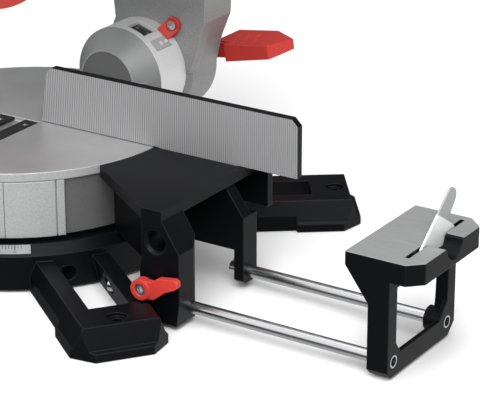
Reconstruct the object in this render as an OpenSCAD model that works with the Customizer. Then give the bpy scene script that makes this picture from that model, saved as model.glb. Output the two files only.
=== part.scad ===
// Sliding compound mitre saw with a pull-out work support on each side.
// Origin: on the bench, under the turntable pivot. X right, Y to the rear, Z up. Sizes in mm.

/* [Table and base] */
// Height of the table top above the bench
table_h = 98; // [96:1:104]
// Radius of the turntable
turn_r = 137; // [133:1:140]
// Running gap round the turntable
turn_gap = 1.5; // [1:0.5:2.5]
// Reach of the front arm from the pivot
arm_reach = 238; // [232:1:250]
// Distance from the pivot to the end of a wing
wing_x = 241; // [238:1:248]
// Depth of the wings in front of the fence face
wing_front = 114; // [112:1:118]
// Depth of the wings behind the fence face
wing_back = 30; // [28:1:34]
// Spacing of the bench bolt holes across the saw
bolt_x = 432; // [424:4:440]
// Spacing of the bench bolt holes from front to rear
bolt_y = 324; // [318:3:330]
// Radius of a bench bolt hole
bolt_r = 4.25; // [3:0.25:5]
// Width of a foot
foot_w = 79; // [74:1:84]

/* [Fence] */
// Height of the fence above the table
fence_h = 50; // [44:1:50]
// Distance from the blade line to the inner end of the right fence
fence_in = 21; // [20:1:26]
// Distance from the blade line to the outer end of each fence
fence_out = 277; // [272:1:296]
// Thickness of the fence wall
fence_t = 7; // [6:0.5:9]

/* [Work supports] */
// Radius of a support tube
tube_r = 5; // [4.5:0.25:5.5]
// Wall of a support tube
tube_wall = 1.2; // [0.8:0.1:1.6]
// Distance of the front tubes in front of the fence face
tube_front = 94; // [92:1:96]
// Distance of the rear tubes in front of the fence face
tube_rear = 10; // [9:0.5:11]
// Height of the tubes above the bench
tube_z = 14; // [13:0.5:15]
// Inner face of the support frame, pulled out as drawn
support_x = 402; // [402:1:420]
// Length of the support's top bar along the work
support_l = 61.5; // [58:0.5:66]
// Angle at which the flip stop stands up
stop_up = 38.5; // [30:0.5:45]

/* [Bevel joint] */
// Radius of the bevel collar
hub_r = 46; // [44:1:47]
// Front face of the bevel hub behind the fence face
hub_y = 122; // [120:1:125]
// Rear face of the fixed collar
collar_y = 181; // [178:1:184]
// Radius of the bevel shaft
shaft_r = 8; // [6:0.5:10]
// Rear face of the bevel arm
arm_back = 225; // [222:1:228]
// Depth of the bevel axis below the table top
bevel_drop = 3; // [2:0.5:4]

/* [Slide rails] */
// Radius of a slide rail
rail_r = 12.5; // [10:0.5:13]
// Distance between the rail axes
rail_pitch = 72; // [70:1:76]
// Height of the rail axes above the table
rail_h = 172; // [170:1:178]
// Travel of the slide
slide_travel = 140; // [100:5:140]

/* [Saw head] */
// Radius of the blade
blade_r = 108; // [104:1:108]
// Thickness of the blade plate
blade_t = 2.2; // [1.6:0.2:2.6]
// Number of teeth on the blade
blade_teeth = 40; // [24:4:48]
// How far the blade reaches below the table top
blade_dip = 5; // [3:0.5:6]
// Angle by which the raised head stands above the cut
head_up = 50; // [42:1:52]
// Radius of the motor housing
motor_r = 46; // [42:1:48]
// Length of the motor housing without its end cap
motor_l = 112; // [90:1:125]

/* [Fits] */
// Radial clearance of shafts and tubes in their bores
fit = 0.06; // [0.03:0.01:0.09]
// Gap between parts that pass each other
gap = 0.5; // [0.4:0.1:0.8]

/* [Hidden] */
$fn = 64;
paint = [0.06, 0.06, 0.07];
cast = [0.66, 0.67, 0.68];
steel = [0.8, 0.81, 0.83];
red = [0.78, 0.16, 0.14];
plastic = [0.12, 0.12, 0.13];

// Bowl of the base: floor, outer wall and the sloping ledge of the mitre scale
floor_z = 38.5;
floor_t = 8;
bowl_r = turn_r + 13;
bowl_wall = 11;
ledge_r = turn_r + 4.5;
ledge_drop = 7.5;
scale_end = 40;
bowl_z = 2;
pivot_r = 8;
bearing_r = turn_r - 26;
bearing_w = 12;
bearing_h = 3.5;
skirt_z = floor_z + bearing_h;

// Feet: each runs out from the bowl along the line to its bench bolt hole
foot_a = atan2(bolt_y, bolt_x);
foot_m = norm([bolt_x, bolt_y]) / 2;
foot_h = 26;
foot_lip = 7;
foot_draft = 9;
foot_end = foot_m + 21;
foot_corner = 16;
foot_pad = foot_m - 36;
foot_step = 4;
foot_open = 34;
foot_bar = 21;

// Turntable: rim, front arm, blade slot, kerf plate, mitre lock and the neck to the bevel hub
rim_h = 7;
groove_a = 49.5;
arm_tip = -arm_reach;
arm_w = 74;
lug_front = -bowl_r - 26;
slot_half = 7;
kerf_half = 21;
kerf_t = 3;
arm_low = foot_h + 3;
knob_z = floor_z + 10;
rod_r = 6;
cam_r = 8;
cam_throw = 1.5;
neck_w = 76;
detent_pos = [arm_tip + 2, table_h - 18];
detent_pin_r = 2;

// Wings and the clamp housings at their front corners
wing_t = 10;
wing_slope = 16;
lip_x = wing_x - wing_slope;
lip_z = table_h - 8;
slope_z = table_h - 33;
house_in = wing_x - 35;
house_low = house_in - 2;
house_back = tube_front - 9;
clamp_z = 33.8;
clamp_x = wing_x - 29.3;
clamp_boss_r = 8.6;
clamp_boss_l = 12;
clamp_grip_t = 5.5;
clamp_lever_t = 7.6;
clamp_seat_r = 6.5;
clamp_screw_r = 3;
clamp_head_r = 5;
clamp_seat_y = clamp_lever_t + 0.3 - wing_front - clamp_boss_l;
window_r = 8;
window_a = 17;
index_a = 46;
bracket_t = 9;
bracket_x = wing_x - 2;

// Fence bolts, each between two gussets
fence_bolt_x = [turn_r + 25, turn_r + 53];
fence_bolt_y = wing_back / 2 + 3;
fence_bolt_r = 3;

// Support tubes and the frame that they carry
bore_r = tube_r + fit;
pass_r = tube_r + 1.5;
frame_t = 18;
frame_x = support_x + frame_t;
frame_web = 3.5;
rear_leg_t = 10.5;
tube_boss_r = tube_r + 5;
rear_boss_x = support_x + 2;
bar_x = support_x - 20;
bar_end = bar_x + support_l;
bar_t = 17;
bar_edge = 10.7;
gusset_z = table_h - 38;
bar_front = tube_front + 9;
bar_back = 4;
front_boss_r = bar_front - tube_front - 0.6;
front_tube_x = 160;
tube_screw_x = bracket_x - bracket_t - 3 - gap;
rear_tube_x = tube_screw_x - 5;
stop_x = frame_x + 5.5;
stop_t = 1.8;
stop_y = -66;
stop_z = table_h - 6;
stop_pin_r = 2;
slot_back = -2;
slot_front = -90;

// Bevel hub, arm and lever
cone_l = 20;
cap_r = 30;
cap_t_hub = 4;
bevel_z = table_h - bevel_drop;
arm_front = collar_y + 0.3;
arm_r = hub_r + 4.5;
face_t = 12;
hub_bore = shaft_r + fit;
lever_back = arm_back + 3;
lever_w = 54;
lever_tilt = 8.3;
boss_w = 19;
pointer_a = 37;
pointer_r = arm_r + 5;
rail_z = table_h + rail_h;
block_front = 146;
block_back = 250;
block_w = rail_pitch + 66;
block_h = 58;
bush_t = 3.5;
bush_l = 22;

// Carriage: yoke at the front of the rails, cap at their rear
yoke_front = 112;
yoke_back = block_front - 3;
yoke_w = rail_pitch + 34;
cap_front = block_back + slide_travel + 4;
cap_t = 18;
pin_y = 92;
pin_z = rail_z - 46;
pin_r = 8;
lug_r = 18;
lug_in = -10;
lug_out = 30;
ear_t = 12;
left_ear = -52;
right_ear = lug_out + gap;
lock_a = -14;
lock_r = 4 + gap;
lock_pos = [pin_y, pin_z] + (lug_r + 8) * [cos(lock_a), sin(lock_a)];

// Return spring of the head
spring_r = 13.5;
wire_r = 1.7;
spring_turns = 5.75;
spring_in = left_ear + ear_t + 2.6;
spring_len = lug_in - gap - spring_in - 2.6;
spring_rings = 16;
wire_sides = 6;

// Head, drawn as it stands with the blade fully down
arbor_y = -48;
arbor_z = table_h + blade_r - blade_dip;
motor_y = arbor_y + 30;
motor_z = arbor_z + 76;
guard_r = blade_r + 11;
guard_wall = 2;
guard_half = 14;
guard_low = -20;
port_r = 13;
port_a = 52;
port_x = -1.5;
low_r = blade_r + 5.5;
low_half = 10.5;
plate_in = guard_half;
plate_out = lug_out;
arbor_r = 10;
boss_r = 23.9;
boss_in = low_half - 2;
bearing_or = 19;
blade_bore = 15;
flange_r = 28;
belt_in = 34;
belt_out = 48;
cover_out = 54;
big_pulley = 32;
small_pulley = 14;
belt_t = 3;
belt_gap = 0.35;
motor_x = cover_out;
motor_end = motor_x + motor_l;
end_cap_l = 22;
a_pos = [arbor_y, arbor_z];
m_pos = [motor_y, motor_z];
p_pos = [pin_y, pin_z];

// Handle: two struts out from the guard and the grip between them, with trigger and lock button
grip_r = 14;
knuckle_r = grip_r + 1;
h_top = a_pos + guard_r * [cos(112), sin(112)];
h_low = a_pos + guard_r * [cos(168), sin(168)];
g_top = h_top + [-52, 42];
g_low = h_low + [-60, 33];
grip = (g_low - g_top) / norm(g_low - g_top);
inward = [-grip[1], grip[0]];
trigger_w = 16;
trigger_pin_r = 2.5;
trigger_pos = g_top + 28 * grip + 4 * inward;
trigger_tip = g_top + 64 * grip + 15 * inward;
trigger_pulled = g_top + 65.3 * grip + 8.2 * inward;
button_r = 5;

// Helpers: solids along X and Y, drawn profiles, and the two sides

module xcyl(x0, x1, r, y = 0, z = 0) {
    translate([x0, y, z]) rotate([0, 90, 0]) cylinder(r = r, h = x1 - x0);
}

module ycyl(y0, y1, r, x = 0, z = 0) {
    translate([x, y0, z]) rotate([-90, 0, 0]) cylinder(r = r, h = y1 - y0);
}

module xz_prism(y0, y1) {
    translate([0, y1, 0]) rotate([90, 0, 0]) linear_extrude(y1 - y0) children();
}

module yz_prism(x0, x1) {
    translate([x0, 0, 0]) rotate([90, 0, 90]) linear_extrude(x1 - x0) children();
}

module xz_link(y0, y1, p, rp, q, rq) {
    translate([0, y1, 0]) rotate([90, 0, 0]) link(y1 - y0, p, rp, q, rq);
}

module yz_link(x0, x1, p, rp, q, rq) {
    translate([x0, 0, 0]) rotate([90, 0, 90]) link(x1 - x0, p, rp, q, rq);
}

module block(from, to) {
    translate(from) cube(to - from);
}

module both_sides() {
    children();
    mirror([1, 0, 0]) children();
}

module left_side() {
    mirror([1, 0, 0]) children();
}

// Two discs and the straight sides that touch both, tucked in a hair so that they join cleanly
module link(h, p, rp, q, rq) {
    tuck = 0.02;
    span = q - p;
    turn = atan2(span[1], span[0]);
    lean = acos((rp - rq) / norm(span));
    union() {
        translate(p) cylinder(r = rp, h = h);
        translate(q) cylinder(r = rq, h = h);
        linear_extrude(h) polygon([for (s = [[p, rp, lean], [q, rq, lean], [q, rq, -lean], [p, rp, -lean]])
            s[0] + (s[1] - tuck) * [cos(turn + s[2]), sin(turn + s[2])]]);
    }
}

// Sector of a disc between two angles
module sector(r, a0, a1) {
    steps = ceil((a1 - a0) / 30);
    far = r / cos((a1 - a0) / steps / 2) + 1;
    intersection() {
        circle(r, $fn = 128);
        polygon(concat([[0, 0]], [for (i = [0:steps])
            far * [cos(a0 + (a1 - a0) * i / steps), sin(a0 + (a1 - a0) * i / steps)]]));
    }
}

// Rectangle with four rounded corners
module rounded(w, h, r) {
    square([w - 2 * r, h], center = true);
    square([w, h - 2 * r], center = true);
    for (x = [-1, 1], y = [-1, 1]) translate([x * (w / 2 - r), y * (h / 2 - r)]) circle(r);
}

// Places what is drawn with the blade down where the raised head stands
module raised() {
    translate([0, pin_y, pin_z]) rotate([-head_up, 0, 0]) translate([0, -pin_y, -pin_z]) children();
}

// Base casting

module base_bowl() {
    rotate_extrude($fn = 128) polygon([[0, floor_z - floor_t], [bowl_r - bowl_wall, floor_z - floor_t],
        [bowl_r - bowl_wall, bowl_z], [bowl_r, bowl_z], [bowl_r, floor_z - ledge_drop],
        [ledge_r, floor_z], [0, floor_z]]);
}

module foot() {
    rotate([0, 0, -foot_a]) difference() {
        intersection() {
            xz_prism(-foot_w, foot_w) polygon([[bowl_r - 8, 0], [foot_end, 0], [foot_end, foot_lip],
                [foot_end - 4, foot_lip + 1], [foot_end - foot_draft, foot_h], [bowl_r - 8, foot_h]]);
            yz_prism(0, foot_end + 1) polygon([[-foot_w / 2, 0], [foot_w / 2, 0], [foot_w / 2, foot_lip],
                [foot_w / 2 - 2, foot_lip + 1], [foot_w / 2 - foot_draft, foot_h],
                [foot_draft - foot_w / 2, foot_h], [2 - foot_w / 2, foot_lip + 1], [-foot_w / 2, foot_lip]]);
            linear_extrude(foot_h) polygon([[0, foot_step - foot_w / 2], [foot_pad, foot_step - foot_w / 2],
                [foot_pad, -foot_w / 2], [foot_end - foot_corner, -foot_w / 2],
                [foot_end, foot_corner - foot_w / 2], [foot_end, foot_w / 2 - foot_corner],
                [foot_end - foot_corner, foot_w / 2], [foot_pad, foot_w / 2],
                [foot_pad, foot_w / 2 - foot_step], [0, foot_w / 2 - foot_step]]);
        }
        // Opening with drafted walls
        yz_prism(0, foot_m - foot_bar) polygon([[-foot_open / 2 - 6, -1], [foot_open / 2 + 6, -1],
            [foot_open / 2 - 1, foot_h + 1], [1 - foot_open / 2, foot_h + 1]]);
        translate([foot_m, 0, -1]) cylinder(r = bolt_r, h = foot_h + 2);
        translate([foot_m, 0, foot_h - 3]) cylinder(r = bolt_r + 4, h = 4);
    }
}

module wing() {
    top = table_h - wing_t;
    // Table surface of the wing
    translate([0, 0, top]) linear_extrude(wing_t) polygon([[96, -wing_front / 3],
        [house_in, -wing_front], [lip_x, -wing_front], [lip_x, wing_back],
        [96, wing_back]]);
    // Clamp housing at the front corner, with a sloping shoulder
    xz_prism(-wing_front, -house_back) polygon([[house_low, 4], [wing_x - 3, 4], [wing_x, 24], [wing_x, slope_z],
        [lip_x, lip_z], [lip_x, table_h], [house_in, table_h], [house_in, clamp_z + 24], [house_low, clamp_z + 14]]);
    // Slanting web from the turntable bay to the housing
    translate([0, 0, floor_z]) linear_extrude(top - floor_z) polygon([[turn_r - 9, -45],
        [house_in + 1, -house_back - 12], [house_in + 1, -house_back - 4], [turn_r - 5, -37]]);
    // Curved wall of the bay
    intersection() {
        difference() {
            translate([0, 0, floor_z - floor_t]) cylinder(r = bowl_r - 2, h = top - floor_z + floor_t, $fn = 128);
            translate([0, 0, -1]) cylinder(r = turn_r + turn_gap, h = table_h + 2, $fn = 128);
        }
        block([0, -45, 0], [bowl_r, wing_back, table_h]);
    }
    // Wall across the wing and the bracket of the rear tube
    xz_prism(-2 * tube_rear, 2 - tube_rear) polygon([[turn_r - 5, table_h - 64], [bracket_x, table_h - 64],
        [bracket_x, slope_z - 2], [lip_x - 4, top], [turn_r - 5, top]]);
    yz_prism(bracket_x - bracket_t, bracket_x) polygon([[-2 * tube_rear, 8], [-2 * tube_rear + 4, 5],
        [-6, 5], [0, 11], [0, slope_z - 2], [-2 * tube_rear, slope_z - 2]]);
    // Apron along the rear edge
    block([turn_r - 14, wing_back - 7, table_h - 40], [wing_x - 6, wing_back, top]);
    // Ribs under the table
    for (x = [turn_r + 28, turn_r + 56])
        block([x, 2 - tube_rear, table_h - 36], [x + 5, wing_back, top]);
}

module base() {
    color(paint) difference() {
        union() {
            base_bowl();
            both_sides() {
                wing();
                foot();
                mirror([0, 1, 0]) foot();
            }
        }
        // Turntable bay and pivot
        translate([0, 0, floor_z]) cylinder(r = turn_r + turn_gap, h = table_h, $fn = 128);
        translate([0, 0, -1]) cylinder(r = pivot_r, h = floor_z + 2);
        both_sides() {
            // Tube bores: close where they guide, wide where they only pass
            xcyl(house_in - 1, wing_x + 1, bore_r, -tube_front, tube_z);
            xcyl(0, house_in, pass_r, -tube_front, tube_z);
            xcyl(bracket_x - bracket_t - 1, bracket_x + 1, bore_r, -tube_rear, tube_z);
            block([60, -tube_rear - pass_r, tube_z - pass_r],
                [bracket_x - bracket_t, pass_r - tube_rear, tube_z + tube_r + 6]);
            // Rear corner of the clamp housing taken off beside the tube
            translate([0, 0, -1]) linear_extrude(table_h) polygon([[wing_x + 2.5, -tube_front - 4.5],
                [wing_x - 7.5, 4.5 - house_back], [wing_x + 9, 4.5 - house_back], [wing_x + 9, -tube_front - 4.5]]);
            // Window with a bevelled edge in the clamp housing
            ycyl(-wing_front - 1, 1 - house_back, window_r, wing_x - 22, table_h - 27);
            translate([wing_x - 22, -wing_front - 0.5, table_h - 27]) rotate([-90, 0, 0])
                cylinder(r1 = window_r + 2.5, r2 = window_r, h = 3);
            // Clamp: threaded bore, pinch slit above the tube and room for the lever boss
            ycyl(-wing_front - 1, 1 - house_back, clamp_screw_r, clamp_x, clamp_z);
            block([house_low - 1, -tube_front - 0.75, tube_z], [wing_x + 1, 0.75 - tube_front, clamp_z + 12]);
            ycyl(-wing_front - clamp_boss_l - 6, -wing_front, clamp_boss_r + 2, clamp_x, clamp_z);
            block([clamp_x, -wing_front - clamp_boss_l - 3, foot_h - 6],
                [wing_x + 10, -wing_front, foot_h + 1]);
            // Threaded bores of the fence bolts
            for (x = fence_bolt_x)
                translate([x, fence_bolt_y, table_h - wing_t - 1]) cylinder(r = fence_bolt_r, h = wing_t + 2);
        }
    }
    // Seats of the clamp levers
    color(paint) both_sides() difference() {
        ycyl(clamp_seat_y, 1 - wing_front, clamp_seat_r, clamp_x, clamp_z);
        ycyl(clamp_seat_y - 1, 2 - wing_front, clamp_screw_r + 0.2, clamp_x, clamp_z);
    }
}

module pivot_bolt() {
    color(steel) {
        translate([0, 0, floor_z - floor_t - 7]) cylinder(r = 14, h = 7, $fn = 6);
        translate([0, 0, floor_z - floor_t]) cylinder(r = pivot_r, h = floor_t + 36);
    }
}

module slide_ring() {
    color("white") translate([0, 0, floor_z]) difference() {
        cylinder(r = bearing_r + bearing_w / 2, h = bearing_h, $fn = 128);
        translate([0, 0, -1]) cylinder(r = bearing_r - bearing_w / 2, h = bearing_h + 2, $fn = 128);
    }
}

module mitre_scale() {
    // A strip lying on the sloping ledge
    run = bowl_r - ledge_r;
    seat = fit;
    lift = 0.8;
    color(steel) rotate([0, 0, -90 - scale_end]) rotate_extrude(angle = 2 * scale_end, $fn = 128)
        polygon([for (s = [[0.06, seat], [0.78, seat], [0.78, lift], [0.06, lift]])
            [ledge_r + run * s[0], floor_z - ledge_drop * s[0]]
                + s[1] * [ledge_drop, run] / norm([run, ledge_drop])]);
}

// Fence

module fence_wall(inner, slant) {
    top = table_h + fence_h;
    xz_prism(0, fence_t) polygon([[inner, table_h + gap], [inner + slant, top - 6], [inner + slant + 6, top],
        [fence_out - 6, top], [fence_out, top - 6], [fence_out, table_h + gap]]);
}

module fence(inner, slant) {
    top = table_h + fence_h;
    difference() {
        union() {
            fence_wall(inner, slant);
            // Foot bolted to the wing
            block([turn_r + 6, 0, table_h], [lip_x - 4, wing_back - 2, table_h + 8]);
            // Gussets and the stiffening bead behind the wall
            for (x = [8:28:64]) yz_prism(turn_r + x, turn_r + x + 6)
                polygon([[0, table_h + 4], [wing_back - 4, table_h + 4], [wing_back - 4, table_h + 10],
                    [fence_t, top - 10], [0, top - 10]]);
            block([inner + slant + 14, 0, top - 14], [fence_out - 14, fence_t + 4, top - 9]);
        }
        for (x = fence_bolt_x)
            translate([x, fence_bolt_y, table_h - 1]) cylinder(r = fence_bolt_r + 0.4, h = 12);
    }
}

module right_fence() {
    color(steel) fence(fence_in, 6);
}

module left_fence() {
    // The inner end leans away to clear the tilted blade and guard
    color(steel) left_side() fence(fence_in + 10, 92);
}

module fence_bolts() {
    color(steel) both_sides() for (x = fence_bolt_x) translate([x, fence_bolt_y, 0]) {
        translate([0, 0, table_h + 8]) cylinder(r = 7, h = 1.4);
        translate([0, 0, table_h + 9.4]) cylinder(r = 5.6, h = 4.5, $fn = 6);
        translate([0, 0, table_h - wing_t]) cylinder(r = fence_bolt_r, h = wing_t + 9);
    }
}

// Clamp levers of the support tubes

module clamp_lever() {
    front = -wing_front - clamp_boss_l;
    back = front + clamp_lever_t;
    boss = [clamp_x, clamp_z];
    color(red) difference() {
        union() {
            ycyl(front, back, clamp_boss_r, boss[0], boss[1]);
            // Cranked neck and flat grip
            xz_prism(front + 1.5, front + 1.5 + clamp_grip_t) translate(boss) polygon([[0, 7.6], [10, 8],
                [16, 12.4], [31, 14.6], [34, 13], [34, 8.6], [32, 6.6], [22.6, 2.2], [12, -6.2], [0, -7.6]]);
        }
        ycyl(front - 1, back + 1, clamp_screw_r, boss[0], boss[1]);
        ycyl(front - 1, front + 6, clamp_head_r, boss[0], boss[1]);
    }
}

module clamp_screw() {
    front = -wing_front - clamp_boss_l;
    color(steel) difference() {
        union() {
            ycyl(front + 1, front + 6, clamp_head_r, clamp_x, clamp_z);
            ycyl(front + 5, -house_back - 2, clamp_screw_r - fit, clamp_x, clamp_z);
        }
        translate([clamp_x, front, clamp_z]) rotate([-90, 0, 0]) cylinder(r = 2.9, h = 4, $fn = 6);
    }
}

module right_clamp_lever() clamp_lever();

module right_clamp_screw() clamp_screw();

module left_clamp_lever() left_side() clamp_lever();

module left_clamp_screw() left_side() clamp_screw();

// Pull-out work supports

module support_frame() {
    low = 2;
    leg = 12;
    back = bar_back - 2.5;
    // Outer web with the window
    yz_prism(frame_x - frame_web, frame_x) difference() {
        polygon([[-bar_front, low + 5], [5 - bar_front, low], [back - 10, low], [back, low + 9],
            [back, table_h - bar_t + 1], [-bar_front, table_h - bar_t + 1]]);
        polygon([[leg - bar_front, tube_z + 14], [leg + 7 - bar_front, tube_z + 5], [-tube_rear - 12, tube_z + 5],
            [-tube_rear - 1, tube_z + 18], [0.5 - tube_rear, table_h - 25], [leg - bar_front, table_h - 25]]);
    }
    // Front leg, and the thinner rear leg
    yz_prism(support_x, frame_x - 1) polygon([[-bar_front, low + 5], [5 - bar_front, low], [leg - bar_front, low],
        [leg - bar_front, table_h - bar_t + 1], [-bar_front, table_h - bar_t + 1]]);
    yz_prism(frame_x - rear_leg_t, frame_x - 1) polygon([[back - 10, low], [back, low + 9],
        [back, table_h - bar_t + 1], [0.5 - tube_rear, table_h - bar_t + 1], [-tube_rear - 1, tube_z + 18],
        [-tube_rear - 5, low + 8]]);
}

module support() {
    top = table_h - bar_t;
    corner = 11;
    color(paint) difference() {
        union() {
            support_frame();
            // Bosses round the tubes: the front one stays inside the leg's outline
            xcyl(support_x + 0.5, frame_x - 1, front_boss_r, -tube_front, tube_z);
            xcyl(rear_boss_x, frame_x - 1, tube_boss_r, -tube_rear, tube_z);
            translate([0, 0, top]) linear_extrude(bar_t) polygon([[bar_x, -bar_front],
                [bar_end - corner, -bar_front], [bar_end, corner - bar_front], [bar_end, -8],
                [bar_end - 13, bar_back], [bar_x, bar_back]]);
            // Gussets from the legs up to the inner edge of the bar
            for (g = [[-bar_front, support_x], [bar_back - 12, frame_x - rear_leg_t]]) xz_prism(g[0], g[0] + 9)
                polygon([[bar_x, table_h - bar_edge], [g[1], gusset_z], [g[1] + 4, gusset_z],
                    [g[1] + 4, table_h - bar_edge]]);
        }
        // The gussets' slope runs on along the lower inner edge of the bar
        xz_prism(-bar_front - 1, bar_back + 1) polygon([[bar_x - 1, table_h - bar_edge + 1.365],
            [support_x, gusset_z], [bar_x - 1, gusset_z]]);
        // Sockets of the tubes
        for (y = [-tube_front, -tube_rear]) xcyl(support_x - 1, frame_x + 1, tube_r, y, tube_z);
        // Slot and finger scoop of the flip stop
        block([stop_x - 1, slot_front, top - 1], [stop_x + stop_t + 1, slot_back, table_h + 1]);
        yz_prism(stop_x + stop_t, bar_end + 1) {
            translate([-47, table_h]) circle(12.5);
            translate([-61.5, table_h - 1]) square([29, 2]);
        }
        xcyl(stop_x - 8, stop_x + 10, stop_pin_r, stop_y, stop_z);
        // Pockets that lighten the bar from below
        for (y = [-88, -34]) block([bar_x + 6, y, top - 1], [support_x - 3, y + 26, table_h - 6]);
    }
}

module tube(x0, y) {
    difference() {
        xcyl(x0, frame_x, tube_r, y, tube_z);
        xcyl(x0 - 1, frame_x + 1, tube_r - tube_wall, y, tube_z);
    }
}

module tubes() {
    color(steel) difference() {
        union() {
            tube(front_tube_x, -tube_front);
            tube(rear_tube_x, -tube_rear);
        }
        translate([tube_screw_x, -tube_rear, tube_z]) cylinder(r = 1.6, h = 20);
    }
}

// Plate of the flip stop, drawn lying down: straight top edge, tongue and deep heel
module stop() {
    color(steel) translate([stop_x, stop_y, stop_z]) rotate([stop_up, 0, 0]) difference() {
        union() {
            yz_prism(0, stop_t) {
                polygon([[0, 5.6], [53.2, 5.6], [54.4, -8.3], [40, -11], [42, -27.5], [29, -27.5], [2, -4.6]]);
                // Rounded end of the tongue
                translate([53.2, -1.4]) circle(7);
            }
            xcyl(0, stop_t, 5.4);
        }
        xcyl(-1, stop_t + 1, stop_pin_r + fit);
    }
}

module support_pins() {
    color(steel) {
        xcyl(stop_x - 8, stop_x + 10, stop_pin_r, stop_y, stop_z);
        // Screw that keeps the rear tube from being pulled out
        translate([tube_screw_x, -tube_rear, tube_z]) {
            cylinder(r = 1.6, h = tube_r + 1);
            translate([0, 0, tube_r]) cylinder(r = 3, h = 3);
        }
    }
}

module right_support() support();

module right_tubes() tubes();

module right_stop() stop();

module right_support_pins() support_pins();

module left_support() left_side() support();

module left_tubes() left_side() tubes();

module left_stop() left_side() stop();

module left_support_pins() left_side() support_pins();

// Turntable

module turntable_drum() {
    skirt_r = turn_r - 0.5;
    difference() {
        union() {
            translate([0, 0, table_h - rim_h]) cylinder(r = turn_r, h = rim_h, $fn = 128);
            translate([0, 0, table_h - rim_h - 1]) cylinder(r = skirt_r - 1, h = 1, $fn = 128);
            translate([0, 0, skirt_z]) cylinder(r = skirt_r, h = table_h - rim_h - 1 - skirt_z, $fn = 128);
        }
        translate([0, 0, skirt_z - 1]) cylinder(r = skirt_r - 8, h = table_h - 9 - skirt_z, $fn = 128);
        both_sides() {
            // Fields set back beside the front of the skirt, and a groove
            translate([0, 0, skirt_z - 1]) linear_extrude(table_h - rim_h - skirt_z) difference() {
                sector(turn_r + 2, -37.6, 30);
                circle(skirt_r - 3, $fn = 128);
            }
            rotate([0, 0, groove_a - 90])
                block([skirt_r - 2, -0.65, skirt_z - 1], [turn_r + 2, 0.65, table_h - rim_h - 0.5]);
        }
    }
}

module front_arm_plan(inset) {
    polygon([[inset - arm_w / 2, -90], [arm_w / 2 - inset, -90], [arm_w / 2 - 6 - inset, arm_tip + 8 + inset],
        [arm_w / 2 - 14 - inset, arm_tip + inset], [inset + 14 - arm_w / 2, arm_tip + inset],
        [inset + 6 - arm_w / 2, arm_tip + 8 + inset]]);
}

module turntable() {
    top = table_h - 10;
    color(cast) difference() {
        union() {
            difference() {
                union() {
                    turntable_drum();
                    // Front arm, deep in front of the base and shallow above it
                    translate([0, 0, skirt_z]) linear_extrude(table_h - skirt_z) front_arm_plan(0);
                    translate([0, 0, arm_low]) linear_extrude(table_h - arm_low) intersection() {
                        front_arm_plan(0);
                        translate([-arm_w, arm_tip - 1]) square([2 * arm_w, lug_front - arm_tip + 16]);
                    }
                }
                linear_extrude(top) difference() {
                    front_arm_plan(6);
                    for (y = [lug_front, -turn_r]) translate([-arm_w, y]) square([2 * arm_w, 10]);
                }
            }
            // Hub, bearing track and ribs under the table
            translate([0, 0, skirt_z]) cylinder(r = 26, h = top - skirt_z + 1);
            translate([0, 0, skirt_z]) difference() {
                cylinder(r = bearing_r + 5, h = top - skirt_z + 1, $fn = 128);
                translate([0, 0, -1]) cylinder(r = bearing_r - 5, h = top, $fn = 128);
            }
            for (a = [30:60:330]) rotate([0, 0, a])
                block([24, -3, skirt_z + 16], [turn_r - 6, 3, top + 1]);
            // Neck to the rear and the bevel hub on it
            block([-neck_w / 2, turn_r - 14, skirt_z + 4], [neck_w / 2, collar_y, bevel_z - hub_r + 24]);
            for (x = [-neck_w / 2, neck_w / 2 - 8])
                block([x, turn_r - 30, skirt_z + 4], [x + 8, collar_y, bevel_z - hub_r + 30]);
            translate([0, hub_y, bevel_z]) rotate([-90, 0, 0]) rotate_extrude($fn = 96)
                polygon([[0, 0], [cap_r - 1, 0], [cap_r, 1], [hub_r, cone_l], [hub_r, collar_y - hub_y],
                    [0, collar_y - hub_y]]);
        }
        // Pivot bore, blade slot and the seat of the kerf plate
        translate([0, 0, skirt_z - 1]) cylinder(r = pivot_r + fit, h = 40);
        block([-slot_half, arm_tip + 8, top - 4], [slot_half, -4, table_h + 1]);
        block([-kerf_half, arm_tip + 5, table_h - kerf_t], [kerf_half, -3, table_h + 1]);
        // Bore of the bevel shaft with room for its head
        ycyl(hub_y - 1, collar_y + 1, shaft_r, 0, bevel_z);
        ycyl(hub_y - 1, hub_y + 16, cap_r - 9, 0, bevel_z);
        ycyl(hub_y - 1, hub_y + cap_t_hub, cap_r - 2, 0, bevel_z);
        // Window of the bevel scale on the collar
        translate([0, 0, bevel_z]) rotate([0, window_a, 0])
            block([-10, hub_y + cone_l + 7, hub_r - 5], [10, collar_y - 12, hub_r + 5]);
        // Flat seat of the index plate
        translate([0, 0, bevel_z]) rotate([0, index_a, 0])
            block([-5.5, collar_y - 31.5, hub_r - 0.8], [5.5, collar_y - 8.5, hub_r + 5]);
        // Bore of the mitre lock rod through the tip and both webs
        ycyl(arm_tip - 1, 11 - turn_r, rod_r + fit, 0, knob_z);
        // Hinge slot of the detent lever and the seats of its trunnions
        block([-9, arm_tip - 1, detent_pos[1] - 8], [9, arm_tip + 8, detent_pos[1] + 8]);
        xcyl(-13, 13, detent_pin_r + fit, detent_pos[0], detent_pos[1]);
    }
}

module kerf_plate() {
    color(plastic) difference() {
        block([gap - kerf_half, gap + arm_tip + 5, table_h - kerf_t], [kerf_half - gap, -3 - gap, table_h - 0.3]);
        block([-6, arm_tip + 11, table_h - kerf_t - 1], [6, 0, table_h + 1]);
        for (x = [-13.5, 13.5], y = [arm_tip + 16, arm_tip + 88, -80, -14])
            translate([x, y, table_h - 1.8]) cylinder(r1 = 1.6, r2 = 3.4, h = 1.8);
    }
}

module mitre_pointer() {
    color(red) translate([0, 0, skirt_z - 2]) linear_extrude(2)
        polygon([[-9, 8 - turn_r], [9, 8 - turn_r], [9, -turn_r], [1, -bowl_r + 2], [-1, -bowl_r + 2],
            [-9, -turn_r]]);
}

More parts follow.
